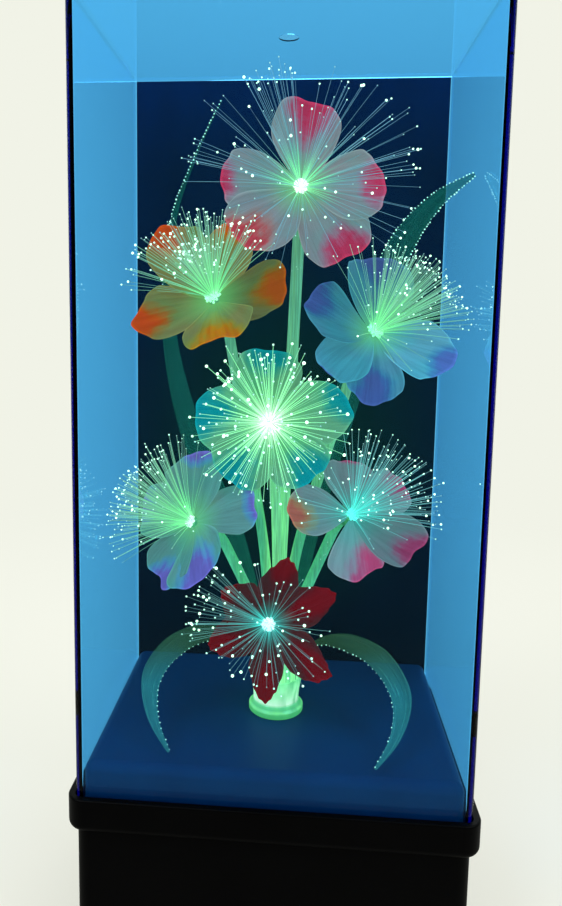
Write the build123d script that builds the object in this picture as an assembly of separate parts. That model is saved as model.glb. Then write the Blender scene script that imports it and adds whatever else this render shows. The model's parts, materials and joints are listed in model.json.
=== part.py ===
from build123d import *

# Fibre optic flower lamp: silk flowers on tubes of light-carrying fibres, inside a clear
# display case on a moulded base that holds a halogen lamp, a colour wheel and its motor.
# Millimetres, +Z up, origin under the middle of the base, front towards -Y.

import os
from collections import namedtuple
from math import cos, radians, sin, tan

# Display case
case_width = 150.0
case_depth = 108.0
case_wall = 2.5
case_corner = 3.0
case_top_round = 1.6
clear_height = 280.0  # floor to ceiling inside the case
gate_mark_radius = 4.0
gate_mark_depth = 0.5
panel_thickness = 1.0
panel_clearance = 0.15  # to the side walls and the ceiling
panel_foot_drop = 4.0  # panel's foot below the floor, behind the floor's rear edge

# Base
foot_height = 3.0
foot_radius = 7.0
foot_chamfer = 0.8
foot_inset_x = 23.0
foot_inset_y = 18.0
skirt_height = 54.0  # wall below the lip
skirt_corner = 5.0
base_wall = 2.8
lip_height = 13.5
lip_proud = 3.2
lip_corner = 7.0
lip_under_round = 3.0
lip_top_round = 0.8
groove_depth = 6.0
groove_clearance = 0.4  # case wall to each side of the groove
seat_gap = 0.2  # case foot above the groove's floor
ledge_thickness = 3.0
ledge_reach = 7.0
post_radius = 4.0
post_inset = 8.2
plate_thickness = 2.0
plate_clearance = 0.3
vent_count = 5
vent_length = 30.0
vent_width = 2.6
vent_pitch = 6.0
vent_offset = 44.0  # middle of each row of slots to the middle of the plate

# Raised floor of the case
floor_rise = 12.2  # floor above the lip's top
floor_round = 4.0
floor_wall = 2.5
floor_corner = 3.0
floor_inner_corner = 1.0

# Collar, gathered fibres and ferrule
collar_flange_radius = 11.8
collar_flange_height = 3.6
collar_neck_radius = 9.8
collar_mouth_radius = 11.2
collar_height = 16.0
collar_bore = 9.0
collar_bevel = 0.5
collar_step = 1.0
collar_fillet_rise = 1.6
collar_waist_gain = 0.3
collar_waist_share = 0.6
collar_mouth_wall = 1.0
collar_spigot_radius = 9.6
bundle_top_radius = 8.2
bundle_radius = 5.3
bundle_drop = 26.2  # floor to the polished end
bundle_cone_drop = 10.7  # floor to the foot of the cone
bundle_shoulder = 1.5  # straight above the cone
ferrule_wall = 1.05
ferrule_length = 15.0
boss_wall = 2.2
boss_length = 20.0
slip = 0.1  # between pieces that slide together
overcut = 1.0  # how far a cut runs past the face it opens

# Stems, blossoms and fibres
stem_radius = 2.2
top_stem_radius = 2.5
stem_gap = 0.2
stem_foot_drop = 2.0  # foot of the tubes below the floor
stem_lead = 15.0  # last straight behind a blossom, before the bend
stem_stand = 2.0  # tube end in front of the blossom
calyx_length = 6.5
calyx_mouth_radius = 5.2
calyx_tail_radius = 3.2
calyx_wall = 0.7
calyx_swell = 0.6
petal_thickness = 0.7
petal_gap = 0.4
petal_root = 3.1
petal_sag_share = 0.36  # height of the dish half way out, over its rim height
fibre_radius = 0.28
fibre_pitch = 0.62
fibre_rings = 3
fibre_root_gap = 0.3

# Blade leaves
leaf_thickness = 0.6
leaf_stalk = 1.4
leaf_ring_radius = 7.8
leaf_steps = 3  # sections between two stations

# Colour wheel and its motor
wheel_offset = 30.0  # motor shaft to bundle axis
wheel_radius = 38.5
wheel_thickness = 1.2
wheel_drop = 30.0  # floor to the wheel's upper face
hub_radius = 4.5
hub_above = 3.3
hub_below = 2.4
filter_inner_radius = 8.0
filter_rim_margin = 1.0
filter_thickness = 0.3
filter_count = 4
filter_gap_degrees = 2.0
shaft_radius = 1.5
shaft_run = 0.05
shaft_in_motor = 6.0
shaft_end_gap = 0.5
motor_radius = 17.5
motor_height = 16.0
motor_gap = 1.5  # hub to motor
motor_edge = 1.5
bracket_thickness = 1.2
bracket_width = 14.0
bracket_hole_offset = 22.0
bracket_boss_radius = 3.0
bracket_margin = 0.5

# Halogen lamp
lamp_gap = 4.5  # reflector rim to wheel
reflector_radius = 17.5
reflector_height = 25.0
reflector_wall = 1.2
reflector_neck_radius = 6.5
reflector_neck_height = 6.0
reflector_bulge = 0.78  # bowl's middle over its rim, in radius
reflector_bulge_height = 0.4
capsule_radius = 3.0
capsule_length = 17.0
capsule_tip_flat = 0.2
pin_radius = 0.5
pin_length = 6.0
pin_spacing = 4.0
pin_end_gap = 0.5
holder_width = 16.0
holder_height = 10.0
holder_corner = 2.0
lamp_foot_width = 16.0
lamp_foot_reach = 22.0
lamp_foot_sheet = 1.2
lamp_foot_margin = 1.5  # holder to the bracket's legs
lamp_screw_inset = 3.0  # screw to the end of the foot

# Switch and inlet in the rear wall
rear_fitting_offset = 40.0  # each side of the middle
rear_fitting_height = 30.0
switch_width = 13.0
switch_height = 19.0
switch_depth = 15.0
bezel_width = 15.0
bezel_height = 21.0
bezel_thickness = 1.2
bezel_corner = 1.5
bezel_edge = 0.5
rocker_width = 10.0
rocker_length = 15.0
rocker_clearance = 0.4
rocker_pivot_depth = 3.0
rocker_keel_share = 0.55  # flat of the keel over the rocker's length
rocker_tilt = 8.0
rocker_hollow = 0.8
trunnion_radius = 1.0
trunnion_length = 0.9
trunnion_cover = 0.5  # body left outside the trunnions' bore
rocker_well_depth = 7.8  # from the wall's face
inlet_radius = 4.0
inlet_flange_radius = 5.5
inlet_flange_thickness = 1.2
inlet_length = 15.0
inlet_bore = 2.75
inlet_bore_depth = 10.0
inlet_pin_radius = 1.0
inlet_pin_drop = 0.5

# Leads and screws
lead_radius = 1.3
lead_exit = 9.0  # straight out of a fitting
lead_stand_off = 12.0
lead_rise = 7.0
lead_split = 3.0
lead_side_run = 7.0
lead_wheel_gap = 4.5  # wheel's rim to the lead's middle
lead_riser_x = 26.0
lead_riser_drop = 12.0  # below the wheel
lead_riser_rise = 4.0  # above the wheel
lead_motor_run = 10.0
screw_radius = 1.3
screw_head_radius = 2.6
screw_head_height = 1.3
screw_head_edge = 0.5
screw_slot_width = 0.7
screw_slot_depth = 0.7
screw_end_gap = 1.0
screw_length = 10.0
small_screw_radius = 1.0
small_screw_head_radius = 2.0
small_screw_length = 5.0
small_screw_end_gap = 0.5

# Levels that follow from the sizes above
plate_top = foot_height + plate_thickness
lip_bottom = foot_height + skirt_height
lip_top = lip_bottom + lip_height
ledge_top = lip_top - groove_depth
ledge_bottom = ledge_top - ledge_thickness
floor_z = lip_top + floor_rise
ceiling_z = floor_z + clear_height
case_top = ceiling_z + case_wall
stem_foot = floor_z - stem_foot_drop
polished_end = floor_z - bundle_drop
wheel_top = floor_z - wheel_drop
wheel_bottom = wheel_top - wheel_thickness
hub_top = wheel_top + hub_above
motor_bottom = hub_top + motor_gap
motor_top = motor_bottom + motor_height
bracket_top = motor_top + bracket_thickness
reflector_rim = wheel_bottom - lamp_gap
reflector_base = reflector_rim - reflector_height
holder_base = reflector_base - holder_height
skirt_inner_width = case_width - 2 * base_wall
skirt_inner_depth = case_depth - 2 * base_wall
case_inner_width = case_width - 2 * case_wall
case_inner_depth = case_depth - 2 * case_wall
case_inner_corner = max(case_corner - case_wall, 0.5)
floor_width = case_inner_width - 2 * groove_clearance
floor_front = case_inner_depth / 2 - groove_clearance  # front edge to the middle
floor_rear = floor_front - panel_thickness  # middle to the rear edge
post_x = case_width / 2 - base_wall - post_inset
post_y = case_depth / 2 - base_wall - post_inset
rear_face = case_depth / 2
ferrule_radius = bundle_radius + slip / 2 + ferrule_wall

Flower = namedtuple("Flower", "centre facing angles reach lobe cup fibre splay slot radius")

# Centre above the floor, facing, directions of the petals, their reach and half width, rim height
# of the dish, fibre length, splay of the outer fibres, slot in the stem pack, stem radius.
FLOWERS = {
    "a": Flower((6, -9, 221.5), (0, -1, 0.15), (2, 84, 168, 229, 305), 34, 13.5, 3,
                41, 66, 90, top_stem_radius),
    "b": Flower((-27.2, -13, 177.5), (-0.25, -0.8, 0.55), (0, 80, 138, 203, 298), 33, 12.7, 9,
                31, 48, 150, stem_radius),
    "c": Flower((35.5, -15, 165), (0.3, -0.8, 0.5), (80, 169, 214, 258, 330), 31, 12, 9,
                31, 48, 30, stem_radius),
    "d": Flower((-4, -16, 129), (-0.05, -1, 0.1), (14, 91, 174, 233, 305), 29, 12.5, 6,
                32, 60, 0, stem_radius),
    "e": Flower((-34.8, -14, 86.2), (-0.6, -0.7, 0.39), (25, 101, 172, 249, 316), 28, 12.3, 8,
                31, 56, 210, stem_radius),
    "f": Flower((29.3, -13, 91.3), (0.3, -0.87, 0.4), (20, 84, 171, 278, 327), 28, 11.5, 8,
                31, 52, 330, stem_radius),
    "g": Flower((-2.6, -21, 47.4), (-0.15, -0.98, 0.1), (27, 80, 146, 206, 272, 328), 30, 8.5, 5,
                26, 56, 270, stem_radius),
}
PACK_CENTRE = "d"
STEM_STRAIGHT = {"a": 40, "b": 60, "c": 60, "d": 60, "e": 36, "f": 36, "g": 20}

Leaf = namedtuple("Leaf", "slot stations")

# Each station: x, y, height above the floor, width, and the direction across the blade.
LEAVES = {
    "leaf_upper_left": Leaf(120, [
        ((-6, 10, 30), 2.2, (-1, -0.4, 0)),
        ((-20, 17, 72), 8.0, (-1, -0.3, 0)),
        ((-40, 19, 116), 11.0, (-0.9, -0.5, 0)),
        ((-51, 19, 162), 10.0, (-0.5, -0.9, 0)),
        ((-50, 18, 208), 7.5, (-0.2, -1, 0)),
        ((-40, 17, 238), 4.5, (0, -1, 0)),
        ((-28, 15, 262), 1.2, (0, -1, 0)),
    ]),
    "leaf_upper_right": Leaf(60, [
        ((6, 10, 30), 2.2, (-1, 0.4, 0)),
        ((16, 16, 86), 8.0, (-1, 0, 0)),
        ((28, 18, 136), 11.5, (-1, 0, 0)),
        ((38, 15, 175), 12.0, (-1, -0.1, 0.2)),
        ((48.5, 9, 202), 11.0, (-1, -0.2, 0.5)),
        ((59, -4, 217), 6.5, (-0.8, -0.4, 0.9)),
        ((70.5, -20, 224.5), 1.2, (-0.5, -0.3, 1)),
    ]),
    "leaf_lower_left": Leaf(180, [
        ((-10, 0, 23), 2.2, (0, -1, 0)),
        ((-17, -2, 33), 5.0, (0.3, -0.9, -0.3)),
        ((-29, -7, 36.5), 8.5, (0.1, -0.8, -0.6)),
        ((-43, -13, 32), 10.0, (0.5, -0.6, -0.6)),
        ((-51, -22, 22.5), 8.5, (0.9, -0.1, -0.4)),
        ((-48.5, -34, 11.5), 4.5, (1, 0.2, 0)),
        ((-40, -44.5, 2.5), 1.0, (0.8, 0.6, 0)),
    ]),
    "leaf_lower_right": Leaf(0, [
        ((10, 0, 23), 2.2, (0, 1, 0)),
        ((18, -2, 32), 5.0, (0.3, 0.9, 0.3)),
        ((30, -6, 34), 8.5, (0.1, 0.8, 0.6)),
        ((43, -12, 30), 10.0, (0.5, 0.6, 0.6)),
        ((51, -23, 20), 8.5, (0.9, 0.1, 0.4)),
        ((48, -36, 10), 4.5, (1, -0.2, 0)),
        ((39, -47.5, 2.5), 1.0, (0.8, -0.6, 0)),
    ]),
}


def save(shape, node):
    export_step(shape, f"parts/{node}.step")


def rounded_box(width, depth, low, high, corner):
    """Upright box with rounded vertical corners, centred on Z, from low to high."""
    return Pos(0, 0, low) * extrude(RectangleRounded(width, depth, corner), high - low)


def tube_between(radius, low, high, x=0.0, y=0.0):
    """Upright cylinder from low to high."""
    return Pos(x, y, (low + high) / 2) * Cylinder(radius, high - low)


def turned(*outline):
    """Solid of revolution about Z of a closed outline of (radius, height) points."""
    points = [(radius, 0, height) for radius, height in outline]
    return revolve(make_face(Polyline(*points, close=True)), Axis.Z)


def corners(x, y):
    return [(side_x * x, side_y * y) for side_x in (-1, 1) for side_y in (-1, 1)]


def unit(vector):
    return Vector(*vector).normalized()


# Display case

def cover_shell():
    shell = rounded_box(case_width, case_depth, ledge_top + seat_gap, case_top, case_corner)
    shell = fillet(shell.edges().group_by(Axis.Z)[-1], case_top_round)
    shell -= rounded_box(case_inner_width, case_inner_depth, ledge_top, ceiling_z,
                         case_inner_corner)
    gate_floor = case_top - gate_mark_depth
    return shell - tube_between(gate_mark_radius, gate_floor, case_top + overcut)


def back_panel():
    low = floor_z - panel_foot_drop
    high = ceiling_z - panel_clearance
    sheet = Box(case_inner_width - 2 * panel_clearance, panel_thickness, high - low)
    upright = sheet.edges().filter_by(Axis.Z)
    sheet = fillet(upright.group_by(Axis.Y)[-1], case_inner_corner)
    return Pos(0, case_inner_depth / 2 - panel_thickness / 2, (low + high) / 2) * sheet


# Base

def base_housing():
    lip_width = case_width + 2 * lip_proud
    lip_depth = case_depth + 2 * lip_proud
    lip = rounded_box(lip_width, lip_depth, lip_bottom, lip_top, lip_corner)
    lip = fillet(lip.edges().group_by(Axis.Z)[0], lip_under_round)
    lip = fillet(lip.edges().group_by(Axis.Z)[-1], lip_top_round)
    shell = rounded_box(case_width, case_depth, foot_height, ledge_top, skirt_corner) + lip
    groove_width = case_width + 2 * groove_clearance
    groove_depth_y = case_depth + 2 * groove_clearance
    shell -= rounded_box(groove_width, groove_depth_y, ledge_top, lip_top + overcut, case_corner)
    inner_corner = skirt_corner - base_wall
    shell -= rounded_box(skirt_inner_width, skirt_inner_depth, foot_height - overcut, ledge_bottom,
                         inner_corner)
    opening_width = skirt_inner_width - 2 * ledge_reach
    opening_depth = skirt_inner_depth - 2 * ledge_reach
    shell -= rounded_box(opening_width, opening_depth, ledge_bottom - overcut,
                         ledge_top + overcut, inner_corner)
    for x, y in corners(post_x, post_y):
        shell += tube_between(post_radius, plate_top, ledge_bottom, x, y)
        pilot_top = plate_top + screw_length
        shell -= tube_between(screw_radius + slip / 2, plate_top, pilot_top, x, y)
    wall_middle = rear_face - base_wall / 2
    cutout = Box(switch_width + 2 * slip, 3 * base_wall, switch_height + 2 * slip)
    shell -= Pos(-rear_fitting_offset, wall_middle, rear_fitting_height) * cutout
    hole = Rot(90, 0, 0) * Cylinder(inlet_radius + slip, 3 * base_wall)
    return shell - Pos(rear_fitting_offset, wall_middle, rear_fitting_height) * hole


def deck_panel():
    tail = floor_round + floor_corner  # trimmed off, so that the rear edge is square
    deck = rounded_box(floor_width, floor_front + floor_rear + tail, ledge_top, floor_z,
                       floor_corner)
    deck = fillet(deck.edges().group_by(Axis.Z)[-1], floor_round)
    deck = Pos(0, (floor_rear + tail - floor_front) / 2, 0) * deck
    deck -= Pos(0, floor_rear + tail, floor_z) * Box(case_width, 2 * tail, 2 * floor_z)
    underside = floor_z - floor_wall
    hollow = rounded_box(floor_width - 2 * floor_wall, floor_front + floor_rear - 2 * floor_wall,
                         ledge_top - overcut, underside, floor_inner_corner)
    deck -= Pos(0, (floor_rear - floor_front) / 2, 0) * hollow
    boss_bore = ferrule_radius + slip
    deck += tube_between(collar_bore + boss_wall, floor_z - boss_length, underside)
    deck -= tube_between(collar_bore, floor_z - bundle_cone_drop, floor_z)
    deck -= tube_between(boss_bore, floor_z - boss_length - overcut, floor_z)
    deck -= tube_between(collar_spigot_radius + slip, underside, floor_z + overcut)
    for side in (-1, 1):
        y = side * bracket_hole_offset
        deck += tube_between(bracket_boss_radius, bracket_top, underside, wheel_offset, y)
        pilot_top = bracket_top + small_screw_length
        deck -= tube_between(small_screw_radius + slip / 2, bracket_top, pilot_top,
                             wheel_offset, y)
    return deck


def base_plate():
    width = skirt_inner_width - 2 * plate_clearance
    depth = skirt_inner_depth - 2 * plate_clearance
    plate = rounded_box(width, depth, foot_height, plate_top, skirt_corner - base_wall)
    for x, y in corners(post_x, post_y):
        plate -= tube_between(screw_radius + slip, 0, plate_top + overcut, x, y)
    for side in (-1, 1):
        hole_x = side * (lamp_foot_reach - lamp_screw_inset)
        plate -= tube_between(small_screw_radius + slip, 0, plate_top + overcut, hole_x)
    slot = extrude(SlotOverall(vent_length, vent_width), 2 * plate_thickness)
    for side in (-1, 1):
        for index in range(vent_count):
            y = (index - (vent_count - 1) / 2) * vent_pitch
            plate -= Pos(side * vent_offset, y, foot_height - overcut) * slot
    return plate


def rubber_feet():
    foot = tube_between(foot_radius, 0, foot_height)
    foot = chamfer(foot.edges().group_by(Axis.Z)[0], foot_chamfer)
    x = case_width / 2 - foot_inset_x
    y = case_depth / 2 - foot_inset_y
    return [Pos(px, py, 0) * foot for px, py in corners(x, y)]


def screw(radius, head_radius, length):
    """Screw pointing up, with the underside of its head at the origin."""
    head = Pos(0, 0, -screw_head_height / 2) * Cylinder(head_radius, screw_head_height)
    head = fillet(head.edges().group_by(Axis.Z)[0], screw_head_edge)
    slot = Box(3 * head_radius, screw_slot_width, 2 * screw_slot_depth)
    return head - Pos(0, 0, -screw_head_height) * slot + tube_between(radius, 0, length)


def base_screws():
    length = plate_thickness + screw_length - screw_end_gap
    piece = screw(screw_radius, screw_head_radius, length)
    return [Pos(x, y, foot_height) * piece for x, y in corners(post_x, post_y)]


# Collar, gathered fibres and ferrule

def bundle_collar():
    """Flanged sleeve that stands on the floor: a narrow neck that flares to its mouth."""
    flange_edge = collar_flange_radius - collar_bevel
    flange_shoulder = collar_flange_height - collar_step
    neck = collar_flange_height + collar_fillet_rise
    waist = collar_height * collar_waist_share
    return Pos(0, 0, floor_z) * turned(
        (collar_bore, -floor_wall), (collar_spigot_radius, -floor_wall),
        (collar_spigot_radius, 0), (flange_edge, 0), (collar_flange_radius, collar_bevel),
        (collar_flange_radius, flange_shoulder),
        (collar_flange_radius - collar_step, collar_flange_height),
        (collar_neck_radius, neck), (collar_neck_radius + collar_waist_gain, waist),
        (collar_mouth_radius, collar_height),
        (collar_mouth_radius - collar_mouth_wall, collar_height), (collar_bore, waist))


def fibre_bundle():
    cone_foot = floor_z - bundle_cone_drop
    cone_top = stem_foot - bundle_shoulder
    return turned((0, polished_end), (bundle_radius, polished_end), (bundle_radius, cone_foot),
                  (bundle_top_radius, cone_top), (bundle_top_radius, stem_foot), (0, stem_foot))


def bundle_ferrule():
    top = polished_end + ferrule_length
    band = tube_between(ferrule_radius, polished_end, top)
    return band - tube_between(bundle_radius + slip / 2, polished_end - overcut, top + overcut)


# Stems, blossoms and fibres

def flower_plane(flower):
    """Plane at the blossom's middle: z along its facing, x level, y up the blossom."""
    facing = unit(flower.facing)
    centre = Vector(*flower.centre) + Vector(0, 0, floor_z)
    level = Vector(0, 0, 1).cross(facing)
    return Plane(origin=centre, x_dir=level, z_dir=facing)


def slot_point(letter):
    """Where a stem stands in the pack of one middle tube and six round it."""
    if letter == PACK_CENTRE:
        return Vector(0, 0, stem_foot)
    flower = FLOWERS[letter]
    ring = stem_radius + stem_gap + flower.radius
    angle = radians(flower.slot)
    return Vector(ring * cos(angle), ring * sin(angle), stem_foot)


def tangent_path(points):
    """Straight runs joined by arcs as large as the runs allow."""
    radii = []
    for before, corner, after in zip(points, points[1:], points[2:]):
        turn = (corner - before).get_angle(after - corner)
        shorter = min((corner - before).length, (after - corner).length)
        radii.append(0.45 * shorter / tan(radians(turn / 2)))
    return FilletPolyline(*points, radius=radii)


def rod_along(points, radius):
    path = tangent_path(points)
    return sweep(Plane(origin=path @ 0, z_dir=path % 0) * Circle(radius), path=path)


def stem_end(flower):
    plane = flower_plane(flower)
    return plane.origin + plane.z_dir * stem_stand


def stem(letter):
    flower = FLOWERS[letter]
    plane = flower_plane(flower)
    foot = slot_point(letter)
    top_of_pack = Vector(foot.X, foot.Y, floor_z + STEM_STRAIGHT[letter])
    knee = plane.origin - plane.z_dir * stem_lead
    return rod_along([foot, top_of_pack, knee, stem_end(flower)], flower.radius)


def calyx(flower):
    bore = flower.radius + slip
    tail = max(calyx_tail_radius, bore + calyx_wall)
    top = -petal_gap
    foot = top - calyx_length
    cup = turned((bore, foot), (tail, foot), (tail + calyx_swell, foot + calyx_length / 2),
                 (calyx_mouth_radius, top), (bore, top))
    return flower_plane(flower) * cup


def petal_lobes(flower):
    """Flat outline of all petals: a rounded lobe each, drawn in to the middle."""
    outline = Circle(calyx_mouth_radius)
    root = Pos(petal_root, 0) * Circle(petal_root)
    tip = Pos(flower.reach - flower.lobe, 0) * Circle(flower.lobe)
    for angle in flower.angles:
        outline += Rot(0, 0, angle) * make_hull(tip.edges() + root.edges())
    return outline


def petals(flower):
    """Blossom: a shallow dish cut to the outline of its petals, with a hole for the tube."""
    hole = flower.radius + slip
    middle = (hole + flower.reach) / 2
    sag = flower.cup * petal_sag_share
    lower = ThreePointArc((hole, 0, 0), (middle, 0, sag), (flower.reach, 0, flower.cup))
    outer = Line((flower.reach, 0, flower.cup), (flower.reach, 0, flower.cup + petal_thickness))
    upper = ThreePointArc((flower.reach, 0, flower.cup + petal_thickness),
                          (middle, 0, sag + petal_thickness), (hole, 0, petal_thickness))
    inner = Line((hole, 0, petal_thickness), (hole, 0, 0))
    dish = revolve(make_face([lower, outer, upper, inner]), Axis.Z)
    height = flower.cup + 4 * petal_thickness
    blank = Pos(0, 0, -petal_thickness) * extrude(petal_lobes(flower), height)
    return flower_plane(flower) * (dish & blank)


def spray(flower):
    """Bare fibres that fan out of the tube's end, in rings."""
    plane = flower_plane(flower)
    rods = []
    for ring in range(fibre_rings + 1):
        count = max(6 * ring, 1)
        lean = radians(flower.splay * ring / fibre_rings)
        reach = flower.fibre * (0.8 + 0.2 * ring / fibre_rings)
        for index in range(count):
            around = radians(360 * index / count)
            root = ring * fibre_pitch
            foot = plane.from_local_coords(
                (root * cos(around), root * sin(around), stem_stand + fibre_root_gap))
            aim = (plane.x_dir * sin(lean) * cos(around) + plane.y_dir * sin(lean) * sin(around)
                   + plane.z_dir * cos(lean))
            rods.append(Plane(origin=foot, z_dir=aim) * tube_between(fibre_radius, 0, reach))
    return rods


def curve_point(before, start, end, after, share):
    """Point of a smooth curve that passes through start and end (Catmull-Rom)."""
    linear = (end - before) * share
    square = (before * 2 - start * 5 + end * 4 - after) * share ** 2
    cube = (start * 3 - before - end * 3 + after) * share ** 3
    return start + (linear + square + cube) * 0.5


def leaf_stations(blade):
    """The stalk's two stations in the collar, then the blade's own."""
    angle = radians(blade.slot)
    x = leaf_ring_radius * cos(angle)
    y = leaf_ring_radius * sin(angle)
    side = Vector(-sin(angle), cos(angle), 0)
    stations = [(Vector(x, y, stem_foot + slip), leaf_stalk, leaf_stalk, side),
                (Vector(x, y, floor_z + collar_height / 2), leaf_stalk, leaf_stalk, side)]
    for (px, py, pz), width, across in blade.stations:
        stations.append((Vector(px, py, floor_z + pz), width, leaf_thickness, Vector(*across)))
    return stations


def leaf(blade):
    """Long blade: straight-sided between many thin sections along its curved middle line."""
    stations = leaf_stations(blade)
    last = len(stations) - 1
    samples = []
    for index in range(last):
        ends = [stations[max(0, min(last, index + step))][0] for step in (-1, 0, 1, 2)]
        for step in range(leaf_steps):
            share = step / leaf_steps
            mixed = [low + (high - low) * share
                     for low, high in zip(stations[index][1:3], stations[index + 1][1:3])]
            side = stations[index][3] * (1 - share) + stations[index + 1][3] * share
            samples.append((curve_point(*ends, share), *mixed, side))
    samples.append(stations[last])
    outlines = []
    for index, (point, width, thickness, side) in enumerate(samples):
        ahead = samples[min(index + 1, len(samples) - 1)][0]
        behind = samples[max(index - 1, 0)][0]
        heading = (ahead - behind).normalized()
        level = side - heading * side.dot(heading)
        outlines.append(Plane(origin=point, x_dir=level, z_dir=heading)
                        * Rectangle(width, thickness))
    return loft(outlines, ruled=True)


# Colour wheel and motor

def wheel_disc():
    disc = tube_between(wheel_radius, wheel_bottom, wheel_top)
    disc += tube_between(hub_radius, wheel_bottom - hub_below, hub_top)
    disc -= tube_between(shaft_radius + shaft_run / 2, wheel_bottom - hub_below - overcut,
                         hub_top + overcut)
    return Pos(wheel_offset, 0, 0) * disc


def colour_filters():
    outer = wheel_radius - filter_rim_margin
    sweep_angle = 360 / filter_count - filter_gap_degrees
    wedges = []
    for index in range(filter_count):
        start = index * 360 / filter_count + filter_gap_degrees / 2
        sector = Cylinder(outer, filter_thickness, arc_size=sweep_angle)
        sector -= Cylinder(filter_inner_radius, 2 * filter_thickness)
        middle = wheel_top + filter_thickness / 2
        wedges.append(Pos(wheel_offset, 0, middle) * Rot(0, 0, start) * sector)
    return wedges


def motor_shaft():
    top = motor_bottom + shaft_in_motor
    return tube_between(shaft_radius, wheel_bottom - hub_below, top, wheel_offset)


def motor_body():
    can = tube_between(motor_radius, motor_bottom, motor_top)
    can = fillet(can.edges().group_by(Axis.Z)[0], motor_edge)
    bore_top = motor_bottom + shaft_in_motor + shaft_end_gap
    can -= tube_between(shaft_radius + shaft_run, motor_bottom - overcut, bore_top)
    return Pos(wheel_offset, 0, 0) * can


def motor_bracket():
    length = 2 * (bracket_hole_offset + bracket_boss_radius + bracket_margin)
    strap = extrude(Rot(0, 0, 90) * SlotOverall(length, bracket_width), bracket_thickness)
    strap = Pos(wheel_offset, 0, motor_top) * strap
    for side in (-1, 1):
        strap -= tube_between(small_screw_radius + slip, motor_top - overcut,
                              bracket_top + overcut, wheel_offset, side * bracket_hole_offset)
    return strap


def motor_screws():
    length = bracket_thickness + small_screw_length - small_screw_end_gap
    piece = screw(small_screw_radius, small_screw_head_radius, length)
    return [Pos(wheel_offset, side * bracket_hole_offset, motor_top) * piece for side in (-1, 1)]


# Halogen lamp

def lamp_reflector():
    rim = reflector_rim
    neck = reflector_base + reflector_neck_height
    wall = reflector_wall
    bore = capsule_radius + slip
    neck_outer = Line((bore, 0, reflector_base), (reflector_neck_radius, 0, reflector_base))
    neck_side = Line((reflector_neck_radius, 0, reflector_base),
                     (reflector_neck_radius, 0, neck))
    bowl_middle = (reflector_radius * reflector_bulge, 0,
                   neck + (rim - neck) * reflector_bulge_height)
    outer = ThreePointArc((reflector_neck_radius, 0, neck), bowl_middle,
                          (reflector_radius, 0, rim))
    lip = Line((reflector_radius, 0, rim), (reflector_radius - wall, 0, rim))
    inner_middle = (bowl_middle[0] - wall, 0, bowl_middle[2] + wall)
    inner = ThreePointArc((reflector_radius - wall, 0, rim), inner_middle,
                          (bore, 0, neck + wall))
    throat = Line((bore, 0, neck + wall), (bore, 0, reflector_base))
    return revolve(make_face([neck_outer, neck_side, outer, lip, inner, throat]), Axis.Z)


def lamp_capsule():
    foot = reflector_base
    glass = tube_between(capsule_radius, foot, foot + capsule_length)
    glass = fillet(glass.edges().group_by(Axis.Z)[-1], capsule_radius - capsule_tip_flat)
    for side in (-1, 1):
        glass += tube_between(pin_radius, foot - pin_length, foot, side * pin_spacing / 2)
    return glass


def lamp_holder():
    block = rounded_box(holder_width, holder_width, holder_base, reflector_base, holder_corner)
    hole_floor = reflector_base - pin_length - pin_end_gap
    for side in (-1, 1):
        block -= tube_between(pin_radius + slip, hole_floor, reflector_base + overcut,
                              side * pin_spacing / 2)
    return block


def lamp_bracket():
    """Hat section of sheet that stands on the base plate and carries the lamp holder."""
    sheet = lamp_foot_sheet
    leg = holder_width / 2 + lamp_foot_margin
    hat = Pos(0, 0, holder_base - sheet / 2) * Box(2 * leg, lamp_foot_width, sheet)
    leg_height = holder_base - plate_top
    for side in (-1, 1):
        web = Box(sheet, lamp_foot_width, leg_height)
        hat += Pos(side * (leg - sheet / 2), 0, plate_top + leg_height / 2) * web
        flange_width = lamp_foot_reach - leg + sheet
        flange_x = side * (lamp_foot_reach - flange_width / 2)
        flange = Box(flange_width, lamp_foot_width, sheet)
        hat += Pos(flange_x, 0, plate_top + sheet / 2) * flange
        hole_x = side * (lamp_foot_reach - lamp_screw_inset)
        hat -= tube_between(small_screw_radius + slip / 2, plate_top - overcut,
                            plate_top + sheet + overcut, hole_x)
    return hat


def lamp_screws():
    piece = screw(small_screw_radius, small_screw_head_radius, small_screw_length)
    reach = lamp_foot_reach - lamp_screw_inset
    return [Pos(side * reach, 0, foot_height) * piece for side in (-1, 1)]


# Switch, inlet and leads

def switch_body():
    """Rocker switch in the rear wall, made facing +Z and then turned to face +Y."""
    body = Pos(0, 0, -switch_depth / 2) * Box(switch_width, switch_height, switch_depth)
    bezel = extrude(RectangleRounded(bezel_width, bezel_height, bezel_corner), bezel_thickness)
    body += fillet(bezel.edges().group_by(Axis.Z)[-1], bezel_edge)
    well_width = rocker_width + 2 * rocker_clearance
    well_length = rocker_length + 4 * rocker_clearance
    well_depth = rocker_well_depth + bezel_thickness
    well = Box(well_width, well_length, 2 * well_depth)
    body -= Pos(0, 0, bezel_thickness) * well
    pivot = bezel_thickness - rocker_pivot_depth
    bore_length = switch_width - 2 * trunnion_cover
    bore = Rot(0, 90, 0) * Cylinder(trunnion_radius + shaft_run, bore_length)
    body -= Pos(0, 0, pivot) * bore
    return rear_place(body, -rear_fitting_offset)


def rear_place(shape, x):
    """Move a fitting made on the XY plane, facing +Z, to the rear wall, facing +Y."""
    wall = Plane(origin=(x, rear_face, rear_fitting_height), x_dir=(-1, 0, 0), z_dir=(0, 1, 0))
    return wall * shape


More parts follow.
